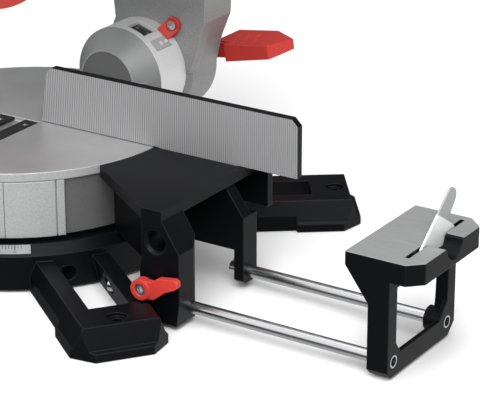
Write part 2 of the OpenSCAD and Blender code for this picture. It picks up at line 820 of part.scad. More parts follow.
module mitre_knob() {
    front = arm_tip - 76;
    color(plastic) difference() {
        translate([0, arm_tip - 1, knob_z]) rotate([90, 0, 0]) rotate_extrude()
            polygon([[0, 0], [11, 0], [11, 8], [9, 14], [12, 24], [15.5, 40], [16, 60], [14, 71], [10, 75], [0, 75]]);
        for (a = [0:45:315]) translate([0, 0, knob_z]) rotate([0, a, 0])
            ycyl(front + 4, front + 46, 2.5, 17, 0);
        ycyl(arm_tip - 30, arm_tip, rod_r, 0, knob_z);
    }
}

module mitre_rod() {
    // The cam at its end grips the floor of the base when turned down
    color(steel) {
        ycyl(arm_tip - 30, 19 - turn_r, rod_r, 0, knob_z);
        ycyl(11 - turn_r, 19 - turn_r, cam_r, 0, knob_z + cam_throw);
    }
}

module detent_lever() {
    elbow = detent_pos + [-10, -2];
    color(red) {
        yz_link(-8.5, 8.5, detent_pos, 4.6, elbow, 4.5);
        yz_link(-14, 14, elbow, 4.5, elbow + [-22, -7], 3);
        xcyl(-12.5, 12.5, detent_pin_r, detent_pos[0], detent_pos[1]);
    }
}

module bevel_shaft() {
    color(steel) {
        ycyl(hub_y + 8, lever_back + boss_w + 10, shaft_r, 0, bevel_z);
        translate([0, hub_y + 8, bevel_z]) rotate([-90, 0, 0]) cylinder(r = 15, h = 8, $fn = 6);
        translate([0, lever_back + boss_w + gap, bevel_z]) rotate([-90, 0, 0])
            cylinder(r = 12, h = 6, $fn = 6);
    }
}

module hub_cap() {
    color(plastic) ycyl(hub_y + 0.6, hub_y + cap_t_hub, cap_r - 2 - fit, 0, bevel_z);
}

module bevel_scale() {
    color(steel) translate([0, 0, bevel_z]) {
        rotate([0, window_a, 0])
            block([-9.5, hub_y + cone_l + 7.5, hub_r - 5], [9.5, collar_y - 12.5, hub_r - 4]);
        // Index plate with two screws beside the window
        rotate([0, index_a, 0]) {
            block([-5, collar_y - 31, hub_r - 0.8], [5, collar_y - 9, hub_r + 0.3]);
            for (y = [collar_y - 21, collar_y - 13])
                translate([0, y, hub_r]) cylinder(r = 1.8, h = 1.2);
        }
    }
}

// Bevel arm

module arm_outline(waist) {
    half = block_w / 2 - 2;
    polygon([[-arm_r + 0.5, bevel_z], [18 - arm_r, table_h + 38], [16 - arm_r, table_h + 58],
        [-half, table_h + 82], [-half, rail_z], [half, rail_z], [half, table_h + 62], [arm_r + 15.5, table_h + 47],
        [arm_r + waist, table_h + 24], [arm_r - 0.5, bevel_z]]);
}

module bevel_arm() {
    color(cast) difference() {
        union() {
            xz_prism(arm_front, arm_front + face_t) arm_outline(8.6);
            xz_prism(arm_front + face_t - 1, arm_back) arm_outline(6);
            translate([0, arm_front, bevel_z]) rotate([-90, 0, 0]) rotate_extrude($fn = 96)
                polygon([[0, 0], [hub_r + 0.4, 0], [arm_r, 5], [arm_r, arm_back - arm_front], [0, arm_back - arm_front]]);
            // Bearing block of the rails, carried forward over the hub
            xz_prism(block_front, block_back) translate([0, rail_z]) rounded(block_w, block_h, 16);
            yz_prism(-block_w / 2 + 6, block_w / 2 - 6) polygon([[block_front + 6, rail_z - block_h / 2 + 4],
                [arm_front + 2, table_h + 104], [arm_front + 12, table_h + 104], [arm_back - 2, table_h + 116],
                [block_back - 6, rail_z - block_h / 2 + 4]]);
        }
        // Sunk panel in front and a deep pocket behind
        xz_prism(arm_front - 1, arm_front + 6) polygon([[-22, table_h + 66], [46, table_h + 66],
            [54, table_h + 76], [54, table_h + 100], [-46, table_h + 100], [-46, table_h + 86]]);
        xz_prism(arm_back - 24, arm_back + 1) polygon([[-20, table_h + 52], [46, table_h + 52],
            [54, table_h + 72], [54, table_h + 100], [-46, table_h + 100], [-46, table_h + 84]]);
        ycyl(arm_front - 1, arm_back + 1, hub_bore, 0, bevel_z);
        for (x = [-1, 1]) ycyl(block_front - 1, block_back + 1, rail_r + bush_t, x * rail_pitch / 2, rail_z);
        // Thread of the rail lock
        xcyl(rail_pitch / 2, block_w / 2 + 1, 4 + fit, block_front + 50, rail_z);
        // Thread of the bevel pointer's screw
        translate([0, 0, bevel_z]) rotate([0, pointer_a, 0]) ycyl(arm_front - 1, arm_front + 10, 2.2, 0, pointer_r);
    }
}

module bevel_pointer() {
    edge = hub_r + 0.5;
    color(red) translate([0, 0, bevel_z]) rotate([0, pointer_a, 0]) difference() {
        union() {
            xz_link(arm_front - 3, arm_front, [0, pointer_r], 7.5, [1, edge + 2], 6.5);
            // Finger bent forward over the collar, and the slope from the ring down to it
            translate([0, 0, edge]) linear_extrude(1.5) polygon([[-6, arm_front - 1], [7, arm_front - 1],
                [7, arm_front - 11], [-7, arm_front - 11]]);
            yz_prism(-7, 7) polygon([[arm_front - 2.5, pointer_r], [arm_front - 10.5, edge + 1.3],
                [arm_front - 10.5, edge + 0.2], [arm_front - 1, edge + 0.2], [arm_front - 1, pointer_r]]);
        }
        ycyl(arm_front - 20, arm_front - 3, 4.8, 0, pointer_r);
        ycyl(arm_front - 4, arm_front + 1, 2.3, 0, pointer_r);
        ycyl(arm_front - 20, arm_front + 1, edge);
    }
}

module pointer_screw() {
    color(steel) translate([0, 0, bevel_z]) rotate([0, pointer_a, 0]) difference() {
        union() {
            ycyl(arm_front - 5.2, arm_front - 3, 4.4, 0, pointer_r);
            ycyl(arm_front - 3.1, arm_front + 9, 2.2, 0, pointer_r);
        }
        translate([0, arm_front - 6, pointer_r]) rotate([-90, 0, 0]) cylinder(r = 2, h = 2, $fn = 6);
    }
}

module bevel_lever() {
    boss_back = lever_back + boss_w;
    color(red) translate([0, 0, bevel_z]) rotate([0, -lever_tilt, 0]) difference() {
        union() {
            ycyl(lever_back, boss_back, 16);
            block([0, lever_back + 10, -7], [64, boss_back, 7]);
            // Paddle: cut-off tip, and an underside that rises towards it
            intersection() {
                translate([0, 0, -9]) linear_extrude(18) polygon([[58, lever_back], [106, lever_back],
                    [111, lever_back + 6], [117.5, lever_back + 27], [84, lever_back + lever_w],
                    [40, lever_back + lever_w], [40, lever_back + 16], [58, lever_back + 10]]);
                xz_prism(lever_back - 1, lever_back + lever_w + 1) polygon([[30, -8], [58, -8], [106, -4.6],
                    [118, -1], [118, 8.2], [30, 8.2]]);
            }
        }
        ycyl(lever_back - 1, boss_back + 1, shaft_r + fit);
        // Grip grooves across the top
        for (x = [66:11:88]) translate([x, lever_back + 6, 8.6]) rotate([0, 0, 24])
            rotate([-90, 0, 0]) cylinder(r = 1.8, h = 32);
    }
}

module rail_bushes() {
    color("tan") for (x = [-1, 1], y = [block_front, block_back - bush_l]) difference() {
        ycyl(y, y + bush_l, rail_r + bush_t, x * rail_pitch / 2, rail_z);
        ycyl(y - 1, y + bush_l + 1, rail_r + fit, x * rail_pitch / 2, rail_z);
    }
}

module rail_lock_knob() {
    x0 = block_w / 2;
    y = block_front + 50;
    color(plastic) {
        xcyl(rail_pitch / 2 + rail_r + 1, x0 + 5, 4, y, rail_z);
        difference() {
            xcyl(x0 + 1, x0 + 20, 14, y, rail_z);
            for (a = [0:60:300]) translate([0, y, rail_z]) rotate([a, 0, 0]) xcyl(x0 + 3, x0 + 21, 4, 16, 0);
        }
    }
}

// Carriage: rails, yoke and pivot of the head

module rails() {
    color(steel) for (x = [-1, 1]) difference() {
        ycyl(yoke_front + 6, cap_front + cap_t - 4, rail_r, x * rail_pitch / 2, rail_z);
        ycyl(yoke_front + 5, cap_front + cap_t, rail_r - 2, x * rail_pitch / 2, rail_z);
    }
}

module yoke_ear(x0) {
    yz_link(x0, x0 + ear_t, [pin_y, pin_z], lug_r, [yoke_back - 20, rail_z - 4], 20);
}

module yoke() {
    color(cast) difference() {
        union() {
            xz_prism(yoke_front, yoke_back) translate([0, rail_z]) rounded(yoke_w, 40, 14);
            yoke_ear(left_ear);
            yoke_ear(right_ear);
            // Socket of the head lock pin
            xcyl(right_ear, right_ear + ear_t + 6, 8, lock_pos[0], lock_pos[1]);
            yz_link(right_ear, right_ear + ear_t, lock_pos, 8, [yoke_back - 20, rail_z - 4], 18);
        }
        for (x = [-1, 1]) ycyl(yoke_front + 6, yoke_back + 1, rail_r, x * rail_pitch / 2, rail_z);
        xcyl(left_ear - 10, right_ear + ear_t + 10, pin_r, pin_y, pin_z);
        xcyl(right_ear - 1, right_ear + ear_t + 7, 4 + fit, lock_pos[0], lock_pos[1]);
        // Room for the turning lug
        xcyl(left_ear + ear_t, right_ear, lug_r + 2, pin_y, pin_z);
        // Pocket that lightens the front
        block([-16, yoke_front - 1, rail_z - 8], [16, yoke_front + 30, rail_z + 10]);
    }
}

module rail_end_cap() {
    color(plastic) difference() {
        xz_prism(cap_front, cap_front + cap_t) translate([0, rail_z]) rounded(rail_pitch + 38, 36, 12);
        for (x = [-1, 1]) ycyl(cap_front - 1, cap_front + cap_t - 4, rail_r, x * rail_pitch / 2, rail_z);
        xz_prism(cap_front - 1, cap_front + cap_t + 1) translate([0, rail_z]) rounded(rail_pitch - 36, 18, 6);
    }
}

module pivot_pin() {
    color(steel) {
        xcyl(left_ear - 3, right_ear + ear_t + 3, pin_r, pin_y, pin_z);
        xcyl(left_ear - 7, left_ear, pin_r + 4, pin_y, pin_z);
        // Sleeve that centres the return spring
        xcyl(left_ear + ear_t, lug_in - gap, spring_r - wire_r - 0.3, pin_y, pin_z);
    }
}

// Return spring of the head: one unbroken wire wound round the pivot sleeve
function coil(t) = [spring_in + spring_len * t / spring_turns,
    pin_y + spring_r * cos(360 * t), pin_z + spring_r * sin(360 * t)];

module head_spring() {
    count = round(spring_turns * spring_rings);
    points = [for (i = [0:count], k = [0:wire_sides - 1])
        let (t = i / spring_rings, a = 360 * k / wire_sides, r = spring_r + wire_r * cos(a))
        [coil(t)[0] + wire_r * sin(a), pin_y + r * cos(360 * t), pin_z + r * sin(360 * t)]];
    sides = [for (i = [0:count - 1], k = [0:wire_sides - 1]) let (a = i * wire_sides + k,
        b = i * wire_sides + (k + 1) % wire_sides) each [[a, a + wire_sides, b], [b, a + wire_sides, b + wire_sides]]];
    ends = [for (k = [1:wire_sides - 2]) each [[0, k, k + 1],
        [count * wire_sides, count * wire_sides + k + 1, count * wire_sides + k]]];
    color(steel) polyhedron(points, concat(sides, ends));
}

module head_lock_pin() {
    color(plastic) {
        xcyl(right_ear + 0.5, right_ear + ear_t + 18, 4, lock_pos[0], lock_pos[1]);
        xcyl(right_ear + ear_t + 18, right_ear + ear_t + 30, 9, lock_pos[0], lock_pos[1]);
    }
}

// Saw head

module head_plate() {
    yz_link(plate_in, plate_out, a_pos, 40, m_pos, 50);
    yz_link(plate_in, plate_out, m_pos, 44, p_pos, lug_r - 1);
    yz_link(plate_in, plate_out, a_pos, 36, p_pos, lug_r - 2);
}

module head_casting() {
    color(cast) raised() difference() {
        union() {
            head_plate();
            // Pivot lug with its lock tooth
            xcyl(lug_in, lug_out, lug_r, pin_y, pin_z);
            yz_prism(lug_out - 8, lug_out) translate(p_pos) rotate(lock_a)
                polygon([[0, lock_r], [lug_r + 13, lock_r], [lug_r + 13, lock_r + 6], [4, lug_r - 3]]);
            xcyl(boss_in, plate_in, boss_r, arbor_y, arbor_z);
        }
        xcyl(lug_in - 1, lug_out + 1, pin_r + fit, pin_y, pin_z);
        xcyl(boss_in - 1, plate_out + 1, bearing_or, arbor_y, arbor_z);
        // Pocket between the arbor, the motor and the pivot
        yz_link(plate_in + 8, plate_out + 1, [32, arbor_z + 42], 10, [58, arbor_z + 42], 7);
    }
}

module upper_guard() {
    wide = 180 - guard_low;
    color(cast) raised() difference() {
        union() {
            yz_prism(-guard_half, guard_half) translate(a_pos) difference() {
                sector(guard_r, guard_low, wide);
                circle(guard_r - 3, $fn = 128);
            }
            for (x = [-guard_half, guard_half - guard_wall]) yz_prism(x, x + guard_wall) translate(a_pos) difference() {
                sector(guard_r, guard_low, wide);
                circle(x < 0 ? flange_r + 6 : boss_r + 4);
            }
            // Raised band on the outer wall
            yz_prism(-guard_half - 2, -guard_half) translate(a_pos) difference() {
                sector(guard_r - 10, 10, 170);
                circle(guard_r - 34, $fn = 96);
            }
            // Chute and port of the sawdust
            translate([port_x, arbor_y, arbor_z]) rotate([port_a, 0, 0]) ycyl(guard_r - 2, guard_r + 46, port_r + 2);
        }
        translate([port_x, arbor_y, arbor_z]) rotate([port_a, 0, 0]) ycyl(guard_r - 4, guard_r + 47, port_r);
        yz_prism(guard_wall - guard_half, guard_half - guard_wall) translate(a_pos) circle(guard_r - 3, $fn = 128);
    }
}

module belt_cover() {
    color(plastic) raised() difference() {
        yz_link(plate_out, cover_out, a_pos, 42, m_pos, 52);
        yz_link(plate_out - 1, cover_out - 3, a_pos, 38, m_pos, 48);
        xcyl(cover_out - 4, cover_out + 1, 20, motor_y, motor_z);
        xcyl(cover_out - 4, cover_out + 1, 8 + fit, arbor_y, arbor_z - 24);
    }
}

module drive_belt() {
    inner = belt_gap;
    color(plastic) raised() difference() {
        yz_link(belt_in, belt_out, a_pos, big_pulley + inner + belt_t, m_pos, small_pulley + inner + belt_t);
        yz_link(belt_in - 1, belt_out + 1, a_pos, big_pulley + inner, m_pos, small_pulley + inner);
    }
}

module motor_housing() {
    color(plastic) raised() difference() {
        union() {
            xcyl(motor_x, motor_end, motor_r, motor_y, motor_z);
            xcyl(motor_x, motor_x + 10, motor_r + 5, motor_y, motor_z);
            for (a = [0:30:330]) translate([0, motor_y, motor_z]) rotate([a, 0, 0])
                block([motor_x + 10, motor_r - 2, -3], [motor_end - 14, motor_r + 2.5, 3]);
        }
        xcyl(motor_x - 1, motor_end + 1, motor_r - 5, motor_y, motor_z);
    }
}

module motor_end_cap() {
    color(paint) raised() difference() {
        union() {
            xcyl(motor_end, motor_end + end_cap_l - 6, motor_r + 2, motor_y, motor_z);
            translate([motor_end + end_cap_l - 6, motor_y, motor_z]) rotate([0, 90, 0])
                cylinder(r1 = motor_r + 2, r2 = motor_r - 6, h = 6);
        }
        xcyl(motor_end - 1, motor_end + end_cap_l - 5, motor_r - 5, motor_y, motor_z);
        // Air slots round the rim and in the face
        for (a = [0:20:340]) translate([0, motor_y, motor_z]) rotate([a, 0, 0]) {
            block([motor_end + 4, motor_r - 8, -2], [motor_end + 12, motor_r + 6, 2]);
            block([motor_end + end_cap_l - 8, 16, -1.8], [motor_end + end_cap_l + 1, motor_r - 12, 1.8]);
        }
    }
}

module stator() {
    color("sienna") raised() difference() {
        xcyl(motor_x + 24, motor_end - 24, motor_r - 5, motor_y, motor_z);
        xcyl(motor_x + 23, motor_end - 23, motor_r - 18, motor_y, motor_z);
    }
}

module bearing(x0, x1, ri, ro, y, z) {
    difference() {
        xcyl(x0, x1, ro, y, z);
        xcyl(x0 - 1, x1 + 1, ri + fit, y, z);
    }
}

module bearings() {
    color(steel) raised() {
        bearing(boss_in + 1, boss_in + 10, arbor_r, bearing_or, arbor_y, arbor_z);
        bearing(plate_out - 10, plate_out - 1, arbor_r, bearing_or, arbor_y, arbor_z);
        bearing(motor_x + 8, motor_x + 18, 6, motor_r - 5, motor_y, motor_z);
        bearing(motor_end - 12, motor_end - 2, 6, motor_r - 5, motor_y, motor_z);
    }
}

// Round bar between two points of the blade's plane
module bar(p, q, r) {
    span = q - p;
    translate([0, p[0], p[1]]) rotate([atan2(span[1], span[0]), 0, 0]) ycyl(0, norm(span), r);
}

// D-shaped handle in front of the guard
module main_handle() {
    color(plastic) raised() difference() {
        union() {
            bar(h_top + (h_top - g_top) / 4, g_top, grip_r);
            bar(g_top, g_low, grip_r);
            bar(h_low + (h_low - g_low) / 4, g_low, grip_r);
            for (p = [g_top, g_low]) translate([0, p[0], p[1]]) sphere(knuckle_r);
        }
        // Seat on the guard
        yz_prism(-knuckle_r, knuckle_r) translate(a_pos) circle(guard_r, $fn = 128);
        // Pocket of the trigger: pulled in, let out and all between
        pocket_w = trigger_w + 2 * gap;
        yz_link(-pocket_w / 2, pocket_w / 2, trigger_pos, 7, trigger_pulled, 8.2);
        yz_link(-pocket_w / 2, pocket_w / 2, trigger_pulled, 8.2, trigger_tip + 9 * inward, 9);
        yz_link(-pocket_w / 2, pocket_w / 2, trigger_pos, 7, trigger_tip + 9 * inward, 9);
        xcyl(-pocket_w / 2 - 2.6, pocket_w / 2 + 2.6, trigger_pin_r + fit, trigger_pos[0], trigger_pos[1]);
        // Bore of the lock button
        xcyl(-knuckle_r - 1, knuckle_r + 1, button_r + fit, g_top[0], g_top[1]);
    }
}

module trigger() {
    color(red) raised() {
        yz_link(-trigger_w / 2, trigger_w / 2, trigger_pos, 6, trigger_tip, 7);
        xcyl(-trigger_w / 2 - 3, trigger_w / 2 + 3, trigger_pin_r, trigger_pos[0], trigger_pos[1]);
    }
}

module lock_button() {
    color(red) raised() xcyl(-knuckle_r - 5, knuckle_r - 6, button_r, g_top[0], g_top[1]);
}

module spindle_lock() {
    color(red) raised() xcyl(cover_out - 3, cover_out + 8, 8, arbor_y, arbor_z - 24);
}

module cord_gland() {
    color(plastic) raised() difference() {
        ycyl(motor_y + motor_r - 3, motor_y + motor_r + 18, 9, motor_end - 30, motor_z + 12);
        ycyl(motor_y + motor_r + 4, motor_y + motor_r + 19, 4, motor_end - 30, motor_z + 12);
        xcyl(motor_x, motor_end, motor_r, motor_y, motor_z);
    }
}

// Blade and spindle

module blade() {
    pitch = 360 / blade_teeth;
    gullet = blade_r - 9;
    color(steel) raised() translate([0, arbor_y, arbor_z]) difference() {
        yz_prism(-blade_t / 2, blade_t / 2) polygon([for (i = [0:blade_teeth - 1],
            p = [[0, blade_r], [0.3, blade_r - 1.2], [0.62, gullet], [0.86, gullet + 1]])
            p[1] * [cos(pitch * (i + p[0])), sin(pitch * (i + p[0]))]]);
        xcyl(-blade_t, blade_t, blade_bore + fit);
        // Expansion slots
        for (a = [10:90:280]) rotate([a, 0, 0]) {
            block([-blade_t, blade_r - 26, -0.6], [blade_t, blade_r, 0.6]);
            xcyl(-blade_t, blade_t, 2.4, blade_r - 27, 0);
        }
    }
}

module arbor() {
    color(steel) raised() {
        xcyl(blade_t / 2, boss_in - 1.5, flange_r, arbor_y, arbor_z);
        xcyl(-blade_t / 2, blade_t / 2, blade_bore, arbor_y, arbor_z);
        xcyl(0, belt_out + 2, arbor_r, arbor_y, arbor_z);
    }
}

module outer_flange() {
    color(steel) raised() difference() {
        union() {
            xcyl(-blade_t / 2 - 3, -blade_t / 2, flange_r, arbor_y, arbor_z);
            xcyl(-blade_t / 2 - 5, -blade_t / 2 - 3, 16, arbor_y, arbor_z);
        }
        xcyl(-10, 0, 4, arbor_y, arbor_z);
    }
}

module arbor_bolt() {
    color(steel) raised() {
        translate([-blade_t / 2 - 11, arbor_y, arbor_z]) rotate([0, 90, 0]) cylinder(r = 7.5, h = 6, $fn = 6);
        xcyl(-blade_t / 2 - 5, -blade_t / 2, 4, arbor_y, arbor_z);
    }
}

module pulley(x0, x1, r, y, z) {
    difference() {
        xcyl(x0, x1, r, y, z);
        for (x = [x0 + 2:3:x1 - 2]) translate([x, y, z]) rotate([0, 90, 0]) rotate_extrude()
            polygon([[r - 1, 0.9], [r + 1, 0], [r + 1, 1.8]]);
    }
}

module driven_pulley() {
    color(steel) raised() difference() {
        pulley(belt_in, belt_out, big_pulley, arbor_y, arbor_z);
        xcyl(belt_in - 1, belt_out + 1, arbor_r, arbor_y, arbor_z);
        for (a = [0:60:300]) translate([0, arbor_y, arbor_z]) rotate([a, 0, 0]) xcyl(belt_in - 1, belt_out + 1, 5, 20, 0);
    }
}

module rotor() {
    color(steel) raised() {
        xcyl(belt_in - 2, motor_end, 6, motor_y, motor_z);
        pulley(belt_in, belt_out, small_pulley, motor_y, motor_z);
        xcyl(motor_x + 22, motor_end - 22, motor_r - 19, motor_y, motor_z);
        xcyl(motor_end - 20, motor_end - 14, motor_r - 8, motor_y, motor_z);
    }
}

module lower_guard() {
    low0 = 180 - guard_low;
    low1 = 360 + guard_low;
    color(red) raised() {
        yz_prism(-low_half, low_half) translate(a_pos) difference() {
            sector(low_r, low0, low1);
            circle(low_r - 2.5, $fn = 128);
        }
        yz_prism(-low_half, 1.5 - low_half) translate(a_pos) difference() {
            sector(low_r, low0, low1);
            circle(flange_r + 34, $fn = 96);
        }
        yz_prism(low_half - 1.5, low_half) translate(a_pos) difference() {
            union() {
                sector(low_r, low0, low1);
                circle(boss_r + 10);
            }
            circle(boss_r + fit);
            // Sight slots
            for (a = [low0 + 20:25:low1 - 15]) rotate(a) translate([60, -3]) square([34, 6]);
        }
    }
}

base();
pivot_bolt();
slide_ring();
mitre_scale();
right_fence();
left_fence();
fence_bolts();
right_clamp_lever();
right_clamp_screw();
left_clamp_lever();
left_clamp_screw();
right_support();
right_tubes();
right_stop();
right_support_pins();
left_support();
left_tubes();
left_stop();
left_support_pins();
turntable();
kerf_plate();
mitre_pointer();
mitre_knob();
mitre_rod();
detent_lever();
bevel_shaft();
hub_cap();
bevel_scale();
bevel_arm();
bevel_pointer();
pointer_screw();
bevel_lever();
rail_bushes();
rail_lock_knob();
rails();
yoke();
rail_end_cap();
pivot_pin();
head_spring();
head_lock_pin();
head_casting();
upper_guard();
belt_cover();
drive_belt();
motor_housing();
motor_end_cap();
stator();
bearings();
main_handle();
trigger();
lock_button();
spindle_lock();
cord_gland();
blade();
arbor();
outer_flange();
arbor_bolt();
driven_pulley();
rotor();
lower_guard();
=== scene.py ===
import math

import bmesh
import bpy
from mathutils import Matrix, Vector


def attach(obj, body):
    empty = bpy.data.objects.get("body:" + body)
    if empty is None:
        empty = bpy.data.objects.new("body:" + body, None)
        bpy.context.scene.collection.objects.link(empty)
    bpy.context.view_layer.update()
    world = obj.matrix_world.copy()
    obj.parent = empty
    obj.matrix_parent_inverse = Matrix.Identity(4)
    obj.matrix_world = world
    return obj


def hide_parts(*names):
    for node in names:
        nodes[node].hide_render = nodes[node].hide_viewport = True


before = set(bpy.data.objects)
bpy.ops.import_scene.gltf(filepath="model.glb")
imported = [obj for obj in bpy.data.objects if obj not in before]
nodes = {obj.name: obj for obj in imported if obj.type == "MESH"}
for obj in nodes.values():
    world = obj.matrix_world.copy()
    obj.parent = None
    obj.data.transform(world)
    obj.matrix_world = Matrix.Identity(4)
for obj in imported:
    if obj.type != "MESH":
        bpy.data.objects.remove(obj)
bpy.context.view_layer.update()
mm = 0.001


def corners(name):
    """Lowest and highest corner of a CAD node, in the shared frame."""
    axes = list(zip(*nodes[name].bound_box))
    return Vector([min(axis) for axis in axes]), Vector([max(axis) for axis in axes])


def middle(name):
    """Middle of a CAD node, which lies on the axis of a turned one."""
    low, high = corners(name)
    return (low + high) / 2


# Finishes: materials of one shader each, worked out from masks on the coordinates of the piece. A mask is
# a wire with a value from 0 to 1, and sums and products of wires add the nodes that they need.


class Wire:
    """A shader value. Sums and products of wires add the Math nodes that work them out."""

    def __init__(self, tree, socket):
        self.tree, self.socket = tree, socket

    def math(self, operation, *values):
        return self.tree.add("ShaderNodeMath", {"operation": operation}, *values)

    def __add__(self, other):
        return self.math("ADD", self, other)

    def __sub__(self, other):
        return self.math("SUBTRACT", self, other)

    def __rsub__(self, other):
        return self.math("SUBTRACT", other, self)

    def __mul__(self, other):
        return self.math("MULTIPLY", self, other)

    def __pow__(self, other):
        return self.math("POWER", self, other)

    def __abs__(self):
        return self.math("ABSOLUTE", self)

    __radd__ = __add__
    __rmul__ = __mul__

    def most(self, other):
        return self.math("MAXIMUM", self, other)

    def wave(self, pitch):
        """Rises from 0 to 1 and falls again over each pitch."""
        return self.math("SINE", self * (2 * math.pi / pitch)) * 0.5 + 0.5

    def rise(self, low, high):
        """0 below low, 1 above high, smooth between; with low above high it falls."""
        if low > high:
            return 1 - self.rise(high, low)
        return self.tree.add("ShaderNodeMapRange", {"interpolation_type": "SMOOTHSTEP"}, self, low, high)

    def past(self, limit, soft):
        """0 before a limit and 1 past it, with a soft border."""
        return self.rise(limit - soft, limit + soft)

    def before(self, limit, soft):
        """1 before a limit and 0 past it, with a soft border."""
        return self.rise(limit + soft, limit - soft)

    def band(self, low, high, soft):
        """1 between low and high, 0 outside, with soft borders."""
        return self.past(low, soft) * self.before(high, soft)


class Tree:
    """A node tree that is built from wires."""

    def __init__(self, tree):
        self.nodes, self.links = tree.nodes, tree.links

    def add(self, kind, settings, *values, out=0):
        node = self.nodes.new(kind)
        for key, value in settings.items():
            setattr(node, key, value)
        for socket, value in zip(node.inputs, values):
            if isinstance(value, Wire):
                self.links.new(value.socket, socket)
            elif value is not None:
                socket.default_value = value
        return Wire(self, node.outputs[out])

    def split(self, vector):
        """The three parts of a vector."""
        parts = self.add("ShaderNodeSeparateXYZ", {}, vector).socket.node
        return [Wire(self, part) for part in parts.outputs]

    def mix(self, factor, first, second):
        """Colour that goes from first to second with factor."""
        node = self.nodes.new("ShaderNodeMix")
        node.data_type = "RGBA"
        for socket, value in ((node.inputs[0], factor), (node.inputs[6], first), (node.inputs[7], second)):
            if isinstance(value, Wire):
                self.links.new(value.socket, socket)
            else:
                socket.default_value = (*value, 1) if isinstance(value, tuple) else value
        return Wire(self, node.outputs[2])


class Finish(Tree):
    """A material of one Principled shader on the piece's own coordinates, in metres."""

    noise_roughness = 0.55
    # Cosines between the rounded and the flat normal, on a flat face and in the middle of an edge
    flat_cosine, edge_cosine = 0.995, 0.86

    def __init__(self, name, **constants):
        self.material = bpy.data.materials.new(name)
        self.material.use_nodes = True
        super().__init__(self.material.node_tree)
        self.shader = self.nodes["Principled BSDF"]
        for socket, value in constants.items():
            self.shader.inputs[socket.replace("_", " ")].default_value = value
        self.place = self.add("ShaderNodeTexCoord", {}, out="Object")
        self.x, self.y, self.z = self.split(self.place)
        self.normal = None

    def noise(self, size, detail=2.0, stretch=(1, 1, 1)):
        """Cloudy noise with spots of about this size, drawn out along an axis by stretch."""
        scaled = self.add("ShaderNodeMapping", {}, self.place, None, None, [1 / s for s in stretch])
        return self.add("ShaderNodeTexNoise", {}, scaled, None, 1 / size, detail, self.noise_roughness)

    def from_axis(self, first, second, centre=(0, 0)):
        """Distance from an axis that stands on two coordinates."""
        a, b = first - centre[0], second - centre[1]
        return (a * a + b * b) ** 0.5

    def edges(self, radius):
        """Rounds the edges in the shading and gives a mask that is 1 along them."""
        self.normal = self.add("ShaderNodeBevel", {"samples": 6}, radius)
        flat = self.add("ShaderNodeNewGeometry", {}, out="True Normal")
        dot = {"operation": "DOT_PRODUCT"}
        cosine = self.add("ShaderNodeVectorMath", dot, self.normal, flat, out="Value")
        return cosine.rise(self.flat_cosine, self.edge_cosine)

    def bump(self, height, depth, strength=0.5):
        """Raises the surface by height, from 0 to 1, times depth."""
        self.normal = self.add("ShaderNodeBump", {}, strength, depth, None, height, self.normal)

    def paint(self, **wires):
        """Feeds Base Color, Roughness and so on, and the normal that bump and edges have made."""
        if self.normal:
            wires["Normal"] = self.normal
        for socket, wire in wires.items():
            self.links.new(wire.socket, self.shader.inputs[socket.replace("_", " ")])
        return self

    def on(self, *names):
        """Gives the CAD nodes of these names this finish."""
        for name in names:
            for slot in nodes[name].material_slots:
                slot.material = self.material
        return self


# Small pieces: prints and screw heads are gathered in one mesh per group, which then rides on a body as a
# piece of its own.
print_relief, digit_relief = 0.04 * mm, 0.02 * mm
screw_sides, rim_share, socket_share = 24, 0.35, 0.42


def made(name, mesh, finish, body):
    """Turns a bmesh into a piece that rides on a body."""
    data = bpy.data.meshes.new(name)
    mesh.to_mesh(data)
    mesh.free()
    data.materials.append(finish.material)
    piece = bpy.data.objects.new(name, data)
    bpy.context.collection.objects.link(piece)
    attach(piece, body)
    return piece


def add_mesh(mesh, data):
    """Moves the faces of mesh data into a bmesh."""
    mesh.from_mesh(data)
    bpy.data.meshes.remove(data)


def add_line(mesh, length, width, relief, place):
    """A printed line, a flat box that stands on a place."""
    grown = bmesh.ops.create_cube(mesh, size=1.0)["verts"]
    sized = Matrix.Translation((0, 0, relief / 2)) @ Matrix.Diagonal((length, width, relief, 1))
    bmesh.ops.transform(mesh, matrix=place @ sized, verts=grown)


def add_number(mesh, number, height, place):
    """A plain printed number, centred on a place and read along its Y."""
    curve = bpy.data.curves.new("digits", "FONT")
    curve.body, curve.size = str(number), height
    curve.align_x, curve.align_y = "CENTER", "CENTER"
    curve.extrude = digit_relief
    holder = bpy.data.objects.new("digits", curve)
    bpy.context.collection.objects.link(holder)
    bpy.context.view_layer.update()
    data = bpy.data.meshes.new_from_object(holder.evaluated_get(bpy.context.evaluated_depsgraph_get()))
    data.transform(place @ Matrix.Rotation(math.radians(90), 4, "Z"))
    add_mesh(mesh, data)
    bpy.data.objects.remove(holder)
    bpy.data.curves.remove(curve)


def add_screw(mesh, place, radius, height, depth=0.5):
    """A screw head along the Z of a place: a rounded rim, and a socket sunk by a share of its height."""
    head = bmesh.new()
    bmesh.ops.create_cone(
        head, cap_ends=True, segments=screw_sides, radius1=radius, radius2=radius, depth=height
    )
    rim = [edge for edge in head.edges if all(vert.co.z > 0 for vert in edge.verts)]
    bmesh.ops.bevel(
        head, geom=rim, offset=height * rim_share, segments=2, profile=0.5, affect="EDGES", material=-1
    )
    top = max(head.faces, key=lambda face: face.calc_center_median().z)
    bmesh.ops.inset_region(head, faces=[top], thickness=radius * socket_share)
    socket = bmesh.ops.extrude_discrete_faces(head, faces=[top])["faces"][0]
    bmesh.ops.translate(head, vec=(0, 0, -height * depth), verts=list(socket.verts))
    data = bpy.data.meshes.new("screw")
    head.to_mesh(data)
    head.free()
    data.transform(place @ Matrix.Translation((0, 0, height / 2)))
    add_mesh(mesh, data)


